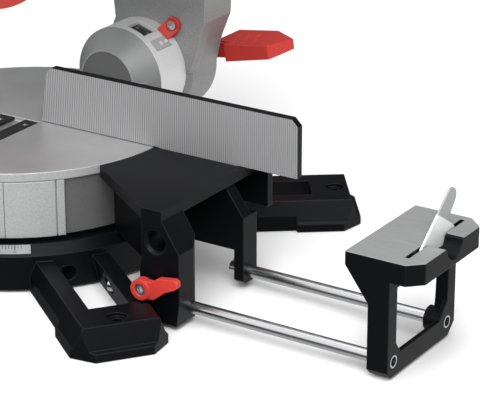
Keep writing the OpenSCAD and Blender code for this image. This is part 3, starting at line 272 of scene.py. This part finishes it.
# Base casting: one aluminium casting with the bowl of the turntable, two wings with clamp housings and
# four feet. Its black powder coat is satin and has a fine orange peel; its edges are painted lighter as a
# highlight.
coat_shine, coat_edge_r = 0.13, 1.4 * mm
peel_size, peel_depth, grain_size = 2.2 * mm, 0.06 * mm, 0.6 * mm
# A lighter black that the edges of the black coats are painted with, as a highlight
edge_highlight_black = (0.03, 0.03, 0.034)


def orange_peel(finish):
    """Height of a powder coat's skin, and the fine grain in it."""
    grain = finish.noise(grain_size)
    return finish.noise(peel_size, detail=1.0) * 0.7 + grain * 0.3, grain


coat = Finish("black_powder_coat", Specular_IOR_Level=coat_shine)
coat_edge = coat.edges(coat_edge_r)
coat_peel, coat_grain = orange_peel(coat)
coat_cloud = coat.noise(60 * mm, detail=3.0)
coat.bump(coat_peel, peel_depth)
coat_black = coat.mix(coat_cloud, (0.0016, 0.0019, 0.0028), (0.0032, 0.0036, 0.0046))
coat.paint(
    Base_Color=coat.mix(coat_edge * 0.5, coat_black, edge_highlight_black),
    Roughness=0.3 + coat_cloud * 0.1 + coat_grain * 0.1,
).on("base")

# Pivot bolt and slide ring: the turntable turns on a zinc-plated bolt through the floor of the bowl and
# glides on a ring of white low-friction plastic, which is greyed a little where it rubs.


def zinc_plate(name, tint=(0.50, 0.51, 0.53)):
    """Zinc-plated steel: cloudy crystals, fine scratches and edges painted bright as a highlight."""
    plate = Finish(name, Metallic=1.0)
    edge_highlight = plate.edges(0.5 * mm)
    crystals = plate.noise(3.5 * mm, detail=3.0)
    scratches = plate.noise(0.5 * mm, stretch=(1, 6, 1))
    plate.bump(crystals * 0.6 + scratches * 0.4, 0.02 * mm)
    dull = tuple(0.62 * part for part in tint)
    return plate.paint(
        Base_Color=plate.mix(edge_highlight * 0.6, plate.mix(crystals, dull, tint), (0.72, 0.72, 0.72)),
        Roughness=0.26 + crystals * 0.16 + scratches * 0.08,
    )


zinc = zinc_plate("zinc_plate").on("pivot_bolt")

glide = Finish("white_slide_plastic", Subsurface_Weight=0.1)
glide_rub = glide.noise(20 * mm, detail=3.0, stretch=(1, 1, 4)).rise(0.45, 0.8)
glide.bump(glide.noise(0.8 * mm), 0.02 * mm, strength=0.4)
glide.paint(
    Base_Color=glide.mix(glide_rub, (0.76, 0.76, 0.73), (0.55, 0.55, 0.53)),
    Roughness=0.4 - glide_rub * 0.12,
).on("slide_ring")

# Mitre scale: a thin aluminium strip glued on the sloping ledge of the bowl, with a dark printed line at
# each degree, and a longer and bolder one with a plain number at every fifth.
ledge_r, ledge_z, ledge_run, ledge_fall = 141.5 * mm, 38.5 * mm, 8.5 * mm, 7.5 * mm
ledge_tilt = math.atan2(ledge_fall, ledge_run)
strip_top = 0.84 * mm
last_degree, numbered_step = 37, 5
last_number = last_degree - last_degree % numbered_step
short_tick, long_tick = (3.3 * mm, 0.5 * mm), (4.7 * mm, 0.9 * mm)
tick_start, number_place, number_size = 0.8 * mm, 7.1 * mm, 2.6 * mm

strip = Finish("brushed_scale_strip", Metallic=0.4)
strip_brush = strip.noise(0.7 * mm)
strip_soil = strip.noise(12 * mm, detail=3.0)
strip.bump(strip_brush, 0.01 * mm, strength=0.4)
strip.paint(
    Base_Color=strip.mix(strip_soil, (0.17, 0.172, 0.176), (0.25, 0.252, 0.256)),
    Roughness=0.42 + strip_brush * 0.15,
).on("mitre_scale")


def scale_ink(name, dark, light, rough_spread):
    """Matt printing ink with a fine speck."""
    ink = Finish(name)
    speck = ink.noise(0.4 * mm)
    return ink.paint(Base_Color=ink.mix(speck, dark, light), Roughness=0.5 + speck * rough_spread)


def on_ledge(angle, along):
    """Place on the strip at an angle from the front, this far down the slope, with X down the slope."""
    upward = Vector((math.sin(ledge_tilt), 0, math.cos(ledge_tilt)))
    slope = Vector((math.cos(ledge_tilt), 0, -math.sin(ledge_tilt)))
    spot = Vector((ledge_r, 0, ledge_z)) + slope * along + upward * strip_top
    facing = Matrix((slope, (0, 1, 0), upward)).transposed().to_4x4()
    return Matrix.Rotation(math.radians(angle - 90), 4, "Z") @ Matrix.Translation(spot) @ facing


black_ink = scale_ink("black_scale_ink", (0.006, 0.006, 0.007), (0.02, 0.02, 0.022), 0.15)
lines = bmesh.new()
for degree in range(-last_degree, last_degree + 1):
    tick, thick = short_tick if degree % numbered_step else long_tick
    add_line(lines, tick, thick, print_relief, on_ledge(degree, tick_start + tick / 2))
for degree in range(-last_number, last_number + 1, numbered_step):
    add_number(lines, abs(degree), number_size, on_ledge(degree, number_place))
made("mitre_scale_print", lines, black_ink, "base")

# Turntable: a silver-lacquered aluminium casting with a machined top, a skirt that stands in the bowl, and
# the bevel hub behind it. The lacquer shows the grain of the casting; the top shows its turning marks.
table_top = corners("right_fence")[0].z
hub_axis = middle("bevel_shaft").z
rim_low, drum_r, field_r, skirt_rear = 91 * mm, 131.85 * mm, 134.4 * mm, 95 * mm
hub_front, hub_low, collar_front = 119.5 * mm, 57.5 * mm, 142 * mm
seam_start, seam_end, seam_blur = math.radians(31.55), math.radians(31.75), 0.0006
turning_pitch = 1.2083 * mm


def cast_lacquer(name, dark, light):
    """Lacquered casting: the finish, its colour, its grain, and its mask of edges that are painted lighter
    as a highlight.
    """
    cast = Finish(name, Metallic=0.3, Specular_IOR_Level=0.4)
    edge_highlight = cast.edges(1.2 * mm)
    grit = cast.noise(0.9 * mm)
    skin = cast.noise(4 * mm)
    cloud = cast.noise(70 * mm, detail=3.0)
    cast.bump(grit * 0.6 + skin * 0.4, 0.09 * mm, strength=0.6)
    colour = cast.mix(grit.rise(0.3, 0.7) * 0.55 + cloud * 0.45, dark, light)
    return cast, colour, grit, edge_highlight


silver, silver_colour, silver_grit, silver_edge = cast_lacquer(
    "cast_silver_table", (0.30, 0.303, 0.306), (0.50, 0.503, 0.506)
)
from_pivot = silver.from_axis(silver.x, silver.y)
milled = silver.z.past(table_top - 0.2 * mm, 0.1 * mm) * silver.y.before(hub_front - 0.5 * mm, 0.5 * mm)
swirl = silver.noise(30 * mm, detail=3.0)
silver.bump(from_pivot.wave(turning_pitch) * milled, 0.012 * mm)
# The skirt under the rim, with a seam at the same angle on both sides and fields that are set back
skirt = silver.z.before(rim_low - 0.2 * mm, 0.2 * mm) * from_pivot.past(drum_r, 0.35 * mm)
skirt = skirt * silver.y.before(skirt_rear, 5 * mm)
skirt_angle = silver.add("ShaderNodeMath", {"operation": "ARCTAN2"}, abs(silver.x), 0 - silver.y)
seam = skirt_angle.band(seam_start, seam_end, seam_blur) * skirt
field = from_pivot.before(field_r, 0.2 * mm) * skirt
silver.bump(1 - seam, 0.4 * mm, strength=0.7)
# The hub, with painted shade on the cone and a painted highlight on the collar
hub = silver.y.past(hub_front - 0.5 * mm, 0.5 * mm) * silver.z.past(hub_low, 2.5 * mm)
collar = silver.y.past(collar_front, 0.2 * mm) * hub
hub_painted_light_and_shade = silver.mix(collar, (0.22, 0.222, 0.224), (0.84, 0.843, 0.846))
hub_painted_light_and_shade = silver.mix(silver_grit.rise(0.25, 0.75) * 0.2, hub_painted_light_and_shade, (0.34, 0.34, 0.345))
milled_tone = silver.mix(swirl, (0.46, 0.465, 0.47), (0.60, 0.605, 0.61))
# The set-back fields are painted dark, as the shade that falls on them
field_painted_shade = silver.mix(silver_grit, (0.07, 0.07, 0.071), (0.15, 0.15, 0.152))
tone = silver.mix(milled, silver_colour, milled_tone)
tone = silver.mix(field * 0.9, tone, field_painted_shade)
tone = silver.mix(hub, tone, hub_painted_light_and_shade)
# The groove of the seam is painted dark as its shade
tone = silver.mix(seam, tone, (0.05, 0.05, 0.05))
# The edges are painted lighter as a highlight
silver.paint(
    Base_Color=silver.mix(silver_edge * 0.6, tone, (0.66, 0.66, 0.66)),
    Roughness=0.42 + silver_grit * 0.12 - milled * 0.12 + swirl * 0.05,
    Metallic=0.28 + milled * 0.4 + collar * 0.1,
).on("turntable")

# Kerf plate: a black moulded insert in the slot of the table, held by eight countersunk screws. Its top is
# scuffed by the work that slides over it. The red mitre pointer is clipped under the front of the table.
kerf_low, kerf_high = corners("kerf_plate")
kerf_screw_inset, kerf_screw_sunk = 7 * mm, 1.4 * mm
kerf_screw_rows = (-222 * mm, -150 * mm, -80 * mm, -14 * mm)
kerf_screw_r, kerf_screw_h, kerf_socket = 2.9 * mm, 1.2 * mm, 0.7


def moulded(name, deep, bright, edge_highlight_colour, rough=0.42):
    """Moulded plastic: spark-eroded grain, slow flow marks and edges painted lighter as a highlight."""
    plastic = Finish(name, Specular_IOR_Level=0.28)
    edge_highlight = plastic.edges(0.9 * mm)
    spark = plastic.noise(0.5 * mm)
    flow = plastic.noise(25 * mm, stretch=(1, 1, 2.5))
    plastic.bump(spark, 0.03 * mm)
    colour = plastic.mix(flow * 0.7 + spark * 0.3, deep, bright)
    return plastic.paint(
        Base_Color=plastic.mix(edge_highlight * 0.6, colour, edge_highlight_colour),
        Roughness=rough + spark * 0.14 - edge_highlight * 0.08,
    )


black_plastic = moulded(
    "black_moulded_plastic", (0.008, 0.008, 0.009), (0.016, 0.016, 0.018), (0.06, 0.06, 0.062)
)
red_plastic = moulded(
    "red_moulded_plastic", (0.47, 0.028, 0.022), (0.60, 0.048, 0.038), (0.72, 0.13, 0.11), rough=0.34
)
red_plastic.on("mitre_pointer")

insert = Finish("scuffed_kerf_plastic", Specular_IOR_Level=0.4)
insert_edge = insert.edges(0.5 * mm)
scuff = insert.noise(1.8 * mm, detail=4.0, stretch=(14, 1, 1)).rise(0.55, 0.75)
insert.bump(insert.noise(0.5 * mm) * (1 - scuff), 0.03 * mm)
# Scuffs lighten the top, and the edges are painted lighter as a highlight
insert_scuff_and_edge_highlight = (scuff * 0.5).most(insert_edge * 0.6)
insert.paint(
    Base_Color=insert.mix(insert_scuff_and_edge_highlight, (0.012, 0.012, 0.013), (0.055, 0.055, 0.057)),
    Roughness=0.5 - scuff * 0.14,
).on("kerf_plate")

kerf_screws = bmesh.new()
for across in (kerf_low.x + kerf_screw_inset, kerf_high.x - kerf_screw_inset):
    for along in kerf_screw_rows:
        spot = Matrix.Translation((across, along, kerf_high.z - kerf_screw_sunk))
        add_screw(kerf_screws, spot, kerf_screw_r, kerf_screw_h, kerf_socket)
made("kerf_plate_screws", kerf_screws, zinc, "turntable")

# Mitre lock: a rubber-covered knob on a zinc-plated rod that runs back under the table to its cam, and the
# red detent lever above it, moulded in plastic.
rubber = Finish("soft_black_rubber", Specular_IOR_Level=0.3)
rubber_edge = rubber.edges(1.2 * mm)
pebbles = rubber.noise(1.1 * mm, detail=1.0)
dust = rubber.noise(30 * mm, detail=3.0).rise(0.5, 0.9)
rubber.bump(pebbles.rise(0.35, 0.65), 0.08 * mm, strength=0.7)
# Dust lightens the rubber in patches, and the edges are painted lighter as a highlight
rubber_dust_and_edge_highlight = (dust * 0.4).most(rubber_edge * 0.5)
rubber.paint(
    Base_Color=rubber.mix(rubber_dust_and_edge_highlight, (0.010, 0.010, 0.011), (0.042, 0.041, 0.04)),
    Roughness=0.62 + pebbles * 0.2,
).on("mitre_knob")
zinc.on("mitre_rod")
red_plastic.on("detent_lever")

# Fence: two castings bolted to the wings. They are powder-coated black; only the front faces are milled
# bare, with fine upright serrations that hold the work and a black edge left along the top.
fence_top = corners("right_fence")[1].z
serration_pitch, bare_depth, top_edge = 1.9 * mm, 0.45 * mm, 0.45 * mm

fence = Finish("fence_coat_and_milled_face", Specular_IOR_Level=0.2)
fence_edge = fence.edges(0.9 * mm)
bare = fence.y.before(bare_depth, 0.15 * mm) * fence.z.before(fence_top - top_edge, 0.15 * mm)
teeth = fence.x.wave(serration_pitch)
streak = fence.noise(1.2 * mm, detail=3.0, stretch=(1, 1, 12))
fence.bump(teeth * bare, 0.35 * mm, strength=0.8)
fence.bump(fence.noise(peel_size, detail=1.0) * (1 - bare), 0.05 * mm)
# The grooves of the serrations are painted darker as their shade and the ridges lighter as their highlight
serration_painted_light_and_shade = fence.mix(teeth, (0.17, 0.172, 0.175), (0.46, 0.463, 0.466))
# The edges of the black coat are painted lighter as a highlight
fence_black = fence.mix(fence_edge * 0.4, (0.0022, 0.0026, 0.0036), edge_highlight_black)
fence.paint(
    Base_Color=fence.mix(bare, fence_black, fence.mix(streak * 0.4, serration_painted_light_and_shade, (0.36, 0.36, 0.37))),
    Metallic=bare * 0.35,
    Roughness=0.4 + bare * 0.02 + streak * 0.1,
).on("right_fence", "left_fence")
zinc_plate("fence_bolt_zinc", (0.40, 0.40, 0.41)).on("fence_bolts")

# Clamp levers: red moulded levers on the clamp housings, each turned by hand to pinch its tube. The zinc
# socket screw that each sits on shows in the ring of its boss.
red_plastic.on("right_clamp_lever", "left_clamp_lever")
zinc_plate("clamp_screw_zinc", (0.66, 0.66, 0.67)).on("right_clamp_screw", "left_clamp_screw")

# Work supports: a black coated casting with a milled top, on two bright drawn steel tubes, pulled out of
# the base by hand. The tubes are pressed into it and keep fine lines from drawing; small pins and screws
# hold stop and tube.
bench = Finish("support_coat_and_milled_top", Specular_IOR_Level=coat_shine)
bench_edge = bench.edges(coat_edge_r)
bench_peel, bench_grain = orange_peel(bench)
topped = bench.z.past(table_top - 0.35 * mm, 0.15 * mm)
cutter = bench.noise(1.2 * mm, detail=3.0, stretch=(14, 1, 1))
bench.bump(bench_peel * (1 - topped) + cutter * topped * 0.4, peel_depth)
# The edges of the black coat are painted lighter as a highlight
bench_black = bench.mix(bench_edge * 0.5, (0.0024, 0.0028, 0.0038), edge_highlight_black)
# The top is milled bare, and its light colour is partly a painted sheen from behind
bench_bare_and_sheen = bench.mix(cutter, (0.27, 0.272, 0.274), (0.37, 0.372, 0.374))
bench.paint(
    Base_Color=bench.mix(topped, bench_black, bench_bare_and_sheen),
    Metallic=topped * 0.35,
    Roughness=0.34 + bench_grain * 0.1 + topped * 0.06,
).on("right_support", "left_support")


def drawn_steel(name, stretch, dark, light):
    """Bright steel with lines drawn along one axis."""
    steel = Finish(name, Metallic=1.0)
    line = steel.noise(0.6 * mm, detail=3.0, stretch=stretch)
    smear = steel.noise(20 * mm, stretch=stretch)
    steel.bump(line, 0.01 * mm, strength=0.6)
    return steel.paint(
        Base_Color=steel.mix(line * 0.5 + smear * 0.5, dark, light),
        Roughness=0.17 + line * 0.12 + smear * 0.06,
    )


tube_steel = drawn_steel("drawn_tube_steel", (60, 1, 1), (0.50, 0.50, 0.51), (0.70, 0.70, 0.71))
tube_steel.on("right_tubes", "left_tubes")
zinc.on("right_support_pins", "left_support_pins")

# Flip stops: steel plates on a cross pin in the slot of each support, brushed along their length. The heel
# is painted bright and the tongue past the crease darker, as the light and shade of a bend at the crease.
stop_y, stop_z, stop_tilt = -66 * mm, 92 * mm, math.radians(38.5)
crease_start, crease_end, crease_slant, tongue_start = 33.6 * mm, 34.2 * mm, 0.35, 34 * mm
hairline_pitch, hairline_sway = 0.69813 * mm, 1.0 * mm

stop = Finish("brushed_stop_steel", Metallic=0.3)
stop_edge = stop.edges(0.4 * mm)
off_y, off_z = stop.y - stop_y, stop.z - stop_z
along_stop = off_y * math.cos(stop_tilt) + off_z * math.sin(stop_tilt)
across_stop = off_z * math.cos(stop_tilt) - off_y * math.sin(stop_tilt)
brushing = stop.noise(0.5 * mm, detail=3.0)
hairlines = (across_stop + brushing * hairline_sway).wave(hairline_pitch)
to_crease = along_stop + across_stop * crease_slant
tongue = to_crease.past(tongue_start, 0.5 * mm)
stop.bump(1 - to_crease.band(crease_start, crease_end, 0.4 * mm), 0.3 * mm, strength=0.6)
stop.bump(hairlines * 0.6 + brushing * 0.4, 0.012 * mm)
stop_painted_light_and_shade = stop.mix(tongue, (0.92, 0.923, 0.926), (0.33, 0.335, 0.34))
stop_painted_light_and_shade = stop.mix(brushing * 0.25, stop_painted_light_and_shade, (0.5, 0.5, 0.505))
stop.paint(
    Base_Color=stop.mix(stop_edge * 0.7, stop_painted_light_and_shade, (0.12, 0.12, 0.125)),
    Roughness=0.34 + hairlines * 0.06 + brushing * 0.1,
).on("right_stop", "left_stop")

# Bevel hub: the shaft with its nut, the dark cap in the front of the hub, and the bevel scale, a plate in
# the window of the collar painted black as the shade in the window, with white marks, beside a bare index
# plate with two screws.
index_r, index_screw_r = 44 * mm, 46.6 * mm
window_turn, window_r, window_rear = math.radians(17), 42.01 * mm, 168.2 * mm
mark_count, mark_step, mark_w, mark_relief = 4, 1.9 * mm, 0.22 * mm, 0.03 * mm
short_mark, long_mark = 2 * mm, 3.4 * mm
dial_numbers = ((-6.2 * mm, 30), (6.2 * mm, 15))
dial_number_size, dial_number_y, dial_number_r = 3 * mm, 161.2 * mm, 42.03 * mm

zinc.on("bevel_shaft")

cap = Finish("dark_hub_cap", Specular_IOR_Level=0.35, Metallic=0.2)
cap_edge = cap.edges(0.6 * mm)
stipple = cap.noise(0.8 * mm)
cap.bump(stipple, 0.04 * mm)
cap_tone = cap.mix(stipple, (0.09, 0.091, 0.092), (0.14, 0.141, 0.142))
# The edge of the cap is painted lighter as a highlight
cap.paint(
    Base_Color=cap.mix(cap_edge * 0.6, cap_tone, (0.3, 0.3, 0.3)),
    Roughness=0.46 + stipple * 0.12,
).on("hub_cap")

dial = Finish("bevel_dial_and_index", Specular_IOR_Level=0.4)
from_hub = dial.from_axis(dial.x, dial.z, (0, hub_axis))
index = from_hub.past(index_r, 0.5 * mm)
index_screws = from_hub.past(index_screw_r, 0.1 * mm)
dial_edge = dial.edges(0.3 * mm)
hair = dial.noise(0.5 * mm, stretch=(1, 5, 1))
dial.bump(hair, 0.01 * mm, strength=0.4)
index_tone = dial.mix(hair, (0.42, 0.423, 0.426), (0.56, 0.563, 0.566))
index_tone = dial.mix(index_screws, index_tone, (0.85, 0.85, 0.85))
shaded_dial_tone = dial.mix(hair, (0.009, 0.009, 0.01), (0.016, 0.016, 0.018))
shaded_dial_tone = dial.mix(index, shaded_dial_tone, index_tone)
# The edges are painted lighter as a highlight
dial.paint(
    Base_Color=dial.mix(dial_edge * 0.4, shaded_dial_tone, (0.7, 0.7, 0.7)),
    Metallic=index * 0.35,
    Roughness=0.32 + hair * 0.14,
).on("bevel_scale")

white_ink = scale_ink("white_scale_ink", (0.62, 0.62, 0.6), (0.78, 0.78, 0.76), 0.12)
window = Matrix.Translation((0, 0, hub_axis)) @ Matrix.Rotation(window_turn, 4, "Y")
marks = bmesh.new()
for step in range(-mark_count, mark_count + 1):
    mark = short_mark if step % mark_count else long_mark
    spot = Matrix.Translation((step * mark_step, window_rear - mark / 2, window_r))
    add_line(marks, mark_w, mark, mark_relief, window @ spot)
for across, number in dial_numbers:
    spot = Matrix.Translation((across, dial_number_y, dial_number_r))
    add_number(marks, number, dial_number_size, window @ spot @ Matrix.Rotation(math.radians(-90), 4, "Z"))
made("bevel_scale_print", marks, white_ink, "turntable")

# Bevel arm: a grey-lacquered casting that clamps against the hub and carries the rails, with a red pointer
# over the scale, bronze bushes in the rail bores and the red lever that locks it from behind.
grey, grey_colour, grey_grit, grey_edge = cast_lacquer(
    "cast_grey_arm", (0.22, 0.222, 0.224), (0.36, 0.362, 0.364)
)
# The edges are painted lighter as a highlight
grey.paint(
    Base_Color=grey.mix(grey_edge * 0.65, grey_colour, (0.52, 0.52, 0.52)),
    Roughness=0.4 + grey_grit * 0.14,
).on("bevel_arm")
red_plastic.on("bevel_pointer", "bevel_lever")
zinc_plate("pointer_screw_zinc", (0.62, 0.62, 0.63)).on("pointer_screw")

bronze = Finish("sintered_bronze", Metallic=0.9)
pores = bronze.noise(0.5 * mm)
oil = bronze.noise(10 * mm, detail=3.0)
bronze.bump(pores.rise(0.4, 0.7), 0.04 * mm, strength=0.6)
bronze.paint(
    Base_Color=bronze.mix(oil * 0.6 + pores * 0.4, (0.16, 0.09, 0.035), (0.42, 0.26, 0.11)),
    Roughness=0.34 + pores * 0.2,
).on("rail_bushes")
black_plastic.on("rail_lock_knob")

# Carriage: two ground steel rails that slide in the bushes, a grey cast yoke at their front, a black cap
# at their rear, the pivot pin of the head and the black knob of its transport lock.
rail_steel = drawn_steel("ground_rail_steel", (1, 40, 1), (0.50, 0.505, 0.51), (0.68, 0.685, 0.69))
rail_steel.on("rails")
grey.on("yoke")
black_plastic.on("rail_end_cap", "head_lock_pin")
zinc.on("pivot_pin")

# Return spring: a coil of dark oil-tempered wire, wound round the sleeve of the pivot pin between the
# cheek of the yoke and the lug of the head.
head_pivot = middle("pivot_pin")
spring_start, spring_run, spring_turns = -37.4 * mm, 24.3 * mm, 5.75
coil_r, wire_r, wire_sides, coil_steps = 13.5 * mm, 1.7 * mm, 14, 144

wire = Finish("oil_tempered_wire", Metallic=1.0)
temper = wire.noise(6 * mm, detail=3.0)
drawing = wire.noise(0.4 * mm, stretch=(1, 4, 4))
wire.bump(drawing, 0.012 * mm)
wire.paint(
    Base_Color=wire.mix(temper, (0.09, 0.085, 0.085), (0.24, 0.23, 0.22)),
    Roughness=0.26 + drawing * 0.14,
)
coil = bmesh.new()
first_ring = bmesh.ops.create_circle(coil, segments=wire_sides, radius=wire_r)["verts"]
bmesh.ops.translate(coil, vec=(spring_start, head_pivot.y + coil_r, head_pivot.z), verts=first_ring)
wound = bmesh.ops.spin(
    coil,
    geom=first_ring + list(coil.edges),
    cent=(0, head_pivot.y, head_pivot.z),
    axis=(1, 0, 0),
    dvec=(spring_run / coil_steps, 0, 0),
    angle=2 * math.pi * spring_turns,
    steps=coil_steps,
)
last_ring = [part for part in wound["geom_last"] if isinstance(part, bmesh.types.BMVert)]
for ring in (first_ring, last_ring):
    bmesh.ops.contextual_create(coil, geom=ring)
bmesh.ops.recalc_face_normals(coil, faces=list(coil.faces))
for face in coil.faces:
    face.smooth = True
spring = made("return_spring_coil", coil, wire, "carriage")
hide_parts("head_spring")

# Head: a silver-lacquered casting with the upper guard on it. The sawdust leaves through the port of the
# guard, and the red lower guard turns inside it.
head, head_colour, head_grit, head_edge_highlight = cast_lacquer(
    "cast_silver_head", (0.36, 0.363, 0.366), (0.58, 0.583, 0.586)
)
# The edges are painted lighter as a highlight
head.paint(
    Base_Color=head.mix(head_edge_highlight * 0.6, head_colour, (0.62, 0.62, 0.62)),
    Roughness=0.42 + head_grit * 0.12,
).on("head_casting", "upper_guard")

# Belt drive: a black moulded cover over the ribbed rubber belt, screwed to the head with five small
# screws, three round the arbor and two round the motor's shaft.
arbor_axis, motor_axis = middle("arbor"), middle("stator")
cover_face = corners("belt_cover")[1].x
cover_screw_r, cover_screw_h = 3.6 * mm, 2.2 * mm
arbor_reach, arbor_turns = 35.5 * mm, (200, 265, 330)
motor_reach, motor_turns = 45.5 * mm, (35, 140)
belt_rib_pitch = 2.3 * mm
head_lift = math.radians(50)
head_up = Matrix.Rotation(-head_lift, 4, "X")
facing_right = head_up @ Matrix.Rotation(math.radians(90), 4, "Y")

black_plastic.on("belt_cover")
belt = Finish("ribbed_belt_rubber", Specular_IOR_Level=0.25)
fibre = belt.noise(0.6 * mm, stretch=(1, 8, 8))
belt.bump(belt.x.wave(belt_rib_pitch), 0.5 * mm, strength=0.8)
belt.paint(
    Base_Color=belt.mix(fibre, (0.008, 0.008, 0.008), (0.03, 0.03, 0.03)),
    Roughness=0.6 + fibre * 0.2,
).on("drive_belt")


def on_head(axis, x, reach, turn):
    """Place on the right of the raised head, at a reach and turn round an axis, facing right."""
    angle = math.radians(turn)
    spot = axis + head_up @ Vector((0, reach * math.cos(angle), reach * math.sin(angle)))
    return Matrix.Translation((x, spot.y, spot.z)) @ facing_right


cover_screws = bmesh.new()
for axis, reach, turns in ((arbor_axis, arbor_reach, arbor_turns), (motor_axis, motor_reach, motor_turns)):
    for turn in turns:
        add_screw(cover_screws, on_head(axis, cover_face, reach, turn), cover_screw_r, cover_screw_h)
made("belt_cover_screws", cover_screws, zinc, "head")

# Motor: a ribbed black housing with a slotted end cap, held by four screws. Inside are the laminated core
# with copper windings and the bearings, and a rubber gland stands where the lead goes in.
core_low, core_high = corners("stator")
winding, sheet_pitch = 8 * mm, 1.1 * mm
cap_face = corners("motor_end_cap")[1].x
cap_reach, cap_turns = 36.5 * mm, (55, 145, 235, 325)
cap_screw_r, cap_screw_h = 3.2 * mm, 1.8 * mm

black_plastic.on("motor_housing", "motor_end_cap")
core = Finish("laminated_core_and_windings", Metallic=0.85)
sheets = core.x.wave(sheet_pitch)
strands = core.noise(1.6 * mm, stretch=(6, 1, 1)).rise(0.35, 0.65)
windings = core.x.before(core_low.x + winding, 2 * mm).most(core.x.past(core_high.x - winding, 2 * mm))
core.bump(sheets * (1 - windings) + strands * windings, 0.2 * mm, strength=0.7)
sheet_tone = core.mix(sheets, (0.14, 0.14, 0.145), (0.32, 0.32, 0.325))
copper_tone = core.mix(strands, (0.22, 0.075, 0.03), (0.52, 0.22, 0.1))
core.paint(Base_Color=core.mix(windings, sheet_tone, copper_tone), Roughness=0.3 + sheets * 0.12)
core.on("stator")

race = Finish("ground_bearing_steel", Metallic=1.0)
sheen = race.noise(6 * mm, detail=3.0)
turned = race.noise(0.4 * mm, stretch=(8, 1, 1))
race.bump(turned, 0.01 * mm)
race.paint(
    Base_Color=race.mix(sheen, (0.38, 0.385, 0.39), (0.58, 0.585, 0.59)),
    Roughness=0.2 + turned * 0.15,
).on("bearings", "driven_pulley", "rotor")
rubber.on("cord_gland")

cap_screws = bmesh.new()
for turn in cap_turns:
    add_screw(cap_screws, on_head(motor_axis, cap_face, cap_reach, turn), cap_screw_r, cap_screw_h)
made("motor_cap_screws", cap_screws, zinc, "head")

# Handle: a black D-handle over the guard with a rubbered grip, a red trigger in its pocket, a red lock
# button through its knuckle and the red spindle lock in the belt cover.
rubber.on("main_handle")
red_plastic.on("trigger", "lock_button", "spindle_lock")

# Blade and spindle: a ground steel saw blade with carbide tips on a zinc-plated arbor, between two flanges
# and under a hexagon bolt. Grinding leaves fine rings round the bore.
tip_start, grind_pitch, grind_sway = 104 * mm, 0.8976 * mm, 1.7143 * mm

saw = Finish("ground_saw_steel", Metallic=1.0)
from_arbor = saw.from_axis(saw.y, saw.z, (arbor_axis.y, arbor_axis.z))
grind = (from_arbor + saw.noise(4 * mm, detail=3.0) * grind_sway).wave(grind_pitch)
stain = saw.noise(30 * mm, detail=4.0)
tips = from_arbor.past(tip_start, 0.5 * mm)
saw.bump(grind, 0.008 * mm)
saw_tone = saw.mix(stain, (0.46, 0.465, 0.47), (0.62, 0.625, 0.63))
saw.paint(
    Base_Color=saw.mix(tips, saw_tone, (0.2, 0.2, 0.21)),
    Roughness=0.22 + grind * 0.08 + stain * 0.1 + tips * 0.12,
).on("blade")
zinc.on("arbor", "outer_flange", "arbor_bolt")

# Lower guard: a red moulded shell round the lower half of the blade, which swings open as the head comes
# down.
red_plastic.on("lower_guard")

# Studio: a pale floor under the saw, soft light from above and from the front right, and the camera of
# the photograph, a long lens to the right of the front and a little above.
camera_turn, camera_dip = math.radians(32.846), math.radians(21.727)
camera_place, camera_lens, camera_film = (1.1217, -1.3774, 0.7246), 156.99, 36
floor_reach, floor_drop = 20, 0.4 * mm

right = Vector((math.cos(camera_turn), math.sin(camera_turn), 0))
level = Vector((-math.sin(camera_turn), math.cos(camera_turn), 0))
look = level * math.cos(camera_dip) - Vector((0, 0, math.sin(camera_dip)))
camera = bpy.data.objects.new("camera", bpy.data.cameras.new("camera"))
camera.data.sensor_width, camera.data.lens = camera_film, camera_lens
camera.matrix_world = Matrix((right, right.cross(look), -look)).transposed().to_4x4()
camera.location = camera_place
bpy.context.collection.objects.link(camera)
bpy.context.scene.camera = camera

paper = Finish("pale_floor", Roughness=0.95, Specular_IOR_Level=0.0)
paper.paint(Base_Color=paper.mix(paper.noise(0.5), (0.88, 0.88, 0.88), (0.92, 0.92, 0.92)))
floor_mesh = bmesh.new()
floor_level = Matrix.Translation((0, 0, -floor_drop))
bmesh.ops.create_grid(floor_mesh, x_segments=1, y_segments=1, size=floor_reach, matrix=floor_level)
floor_data = bpy.data.meshes.new("floor")
floor_mesh.to_mesh(floor_data)
floor_mesh.free()
floor_data.materials.append(paper.material)
floor = bpy.data.objects.new("floor", floor_data)
floor.visible_glossy = False
bpy.context.collection.objects.link(floor)


def lamp(name, place, aim, size, power):
    """A square area light, in metres and watts."""
    light = bpy.data.objects.new(name, bpy.data.lights.new(name, "AREA"))
    light.data.size = size
    light.data.energy = power
    light.location = place
    light.rotation_euler = (Vector(aim) - Vector(place)).to_track_quat("-Z", "Y").to_euler()
    bpy.context.collection.objects.link(light)


lamp("key", place=(1.3, -1.9, 2.5), aim=(0.1, 0, 0.1), size=2.2, power=82)
lamp("overhead", place=(0.2, 0.4, 2.6), aim=(0.1, 0, 0), size=2.4, power=30)

# The world is a dome, brighter in front than behind, with a low glow to the right and rear and one below
world = bpy.data.worlds.new("studio")
bpy.context.scene.world = world
world.use_nodes = True
sky = Tree(world.node_tree)
to_right, to_rear, to_top = sky.split(sky.add("ShaderNodeTexCoord", {}, out="Generated"))
dome = to_top.rise(-0.05, 0.25) * (0.12 + to_rear.rise(0.5, -0.4) * 1.1)
low_glow = (to_right * 0.75 + to_rear * 0.65).rise(-0.1, 1.0) * 0.72 + 0.05
floor_glow = to_top.rise(-0.32, -0.7) * 0.5
glow = dome + to_top.rise(0.25, -0.05) * low_glow + floor_glow
background = world.node_tree.nodes["Background"]
background.inputs["Color"].default_value = (1, 1, 1, 1)
sky.links.new(glow.socket, background.inputs["Strength"])
bpy.context.scene.view_settings.view_transform = "Standard"
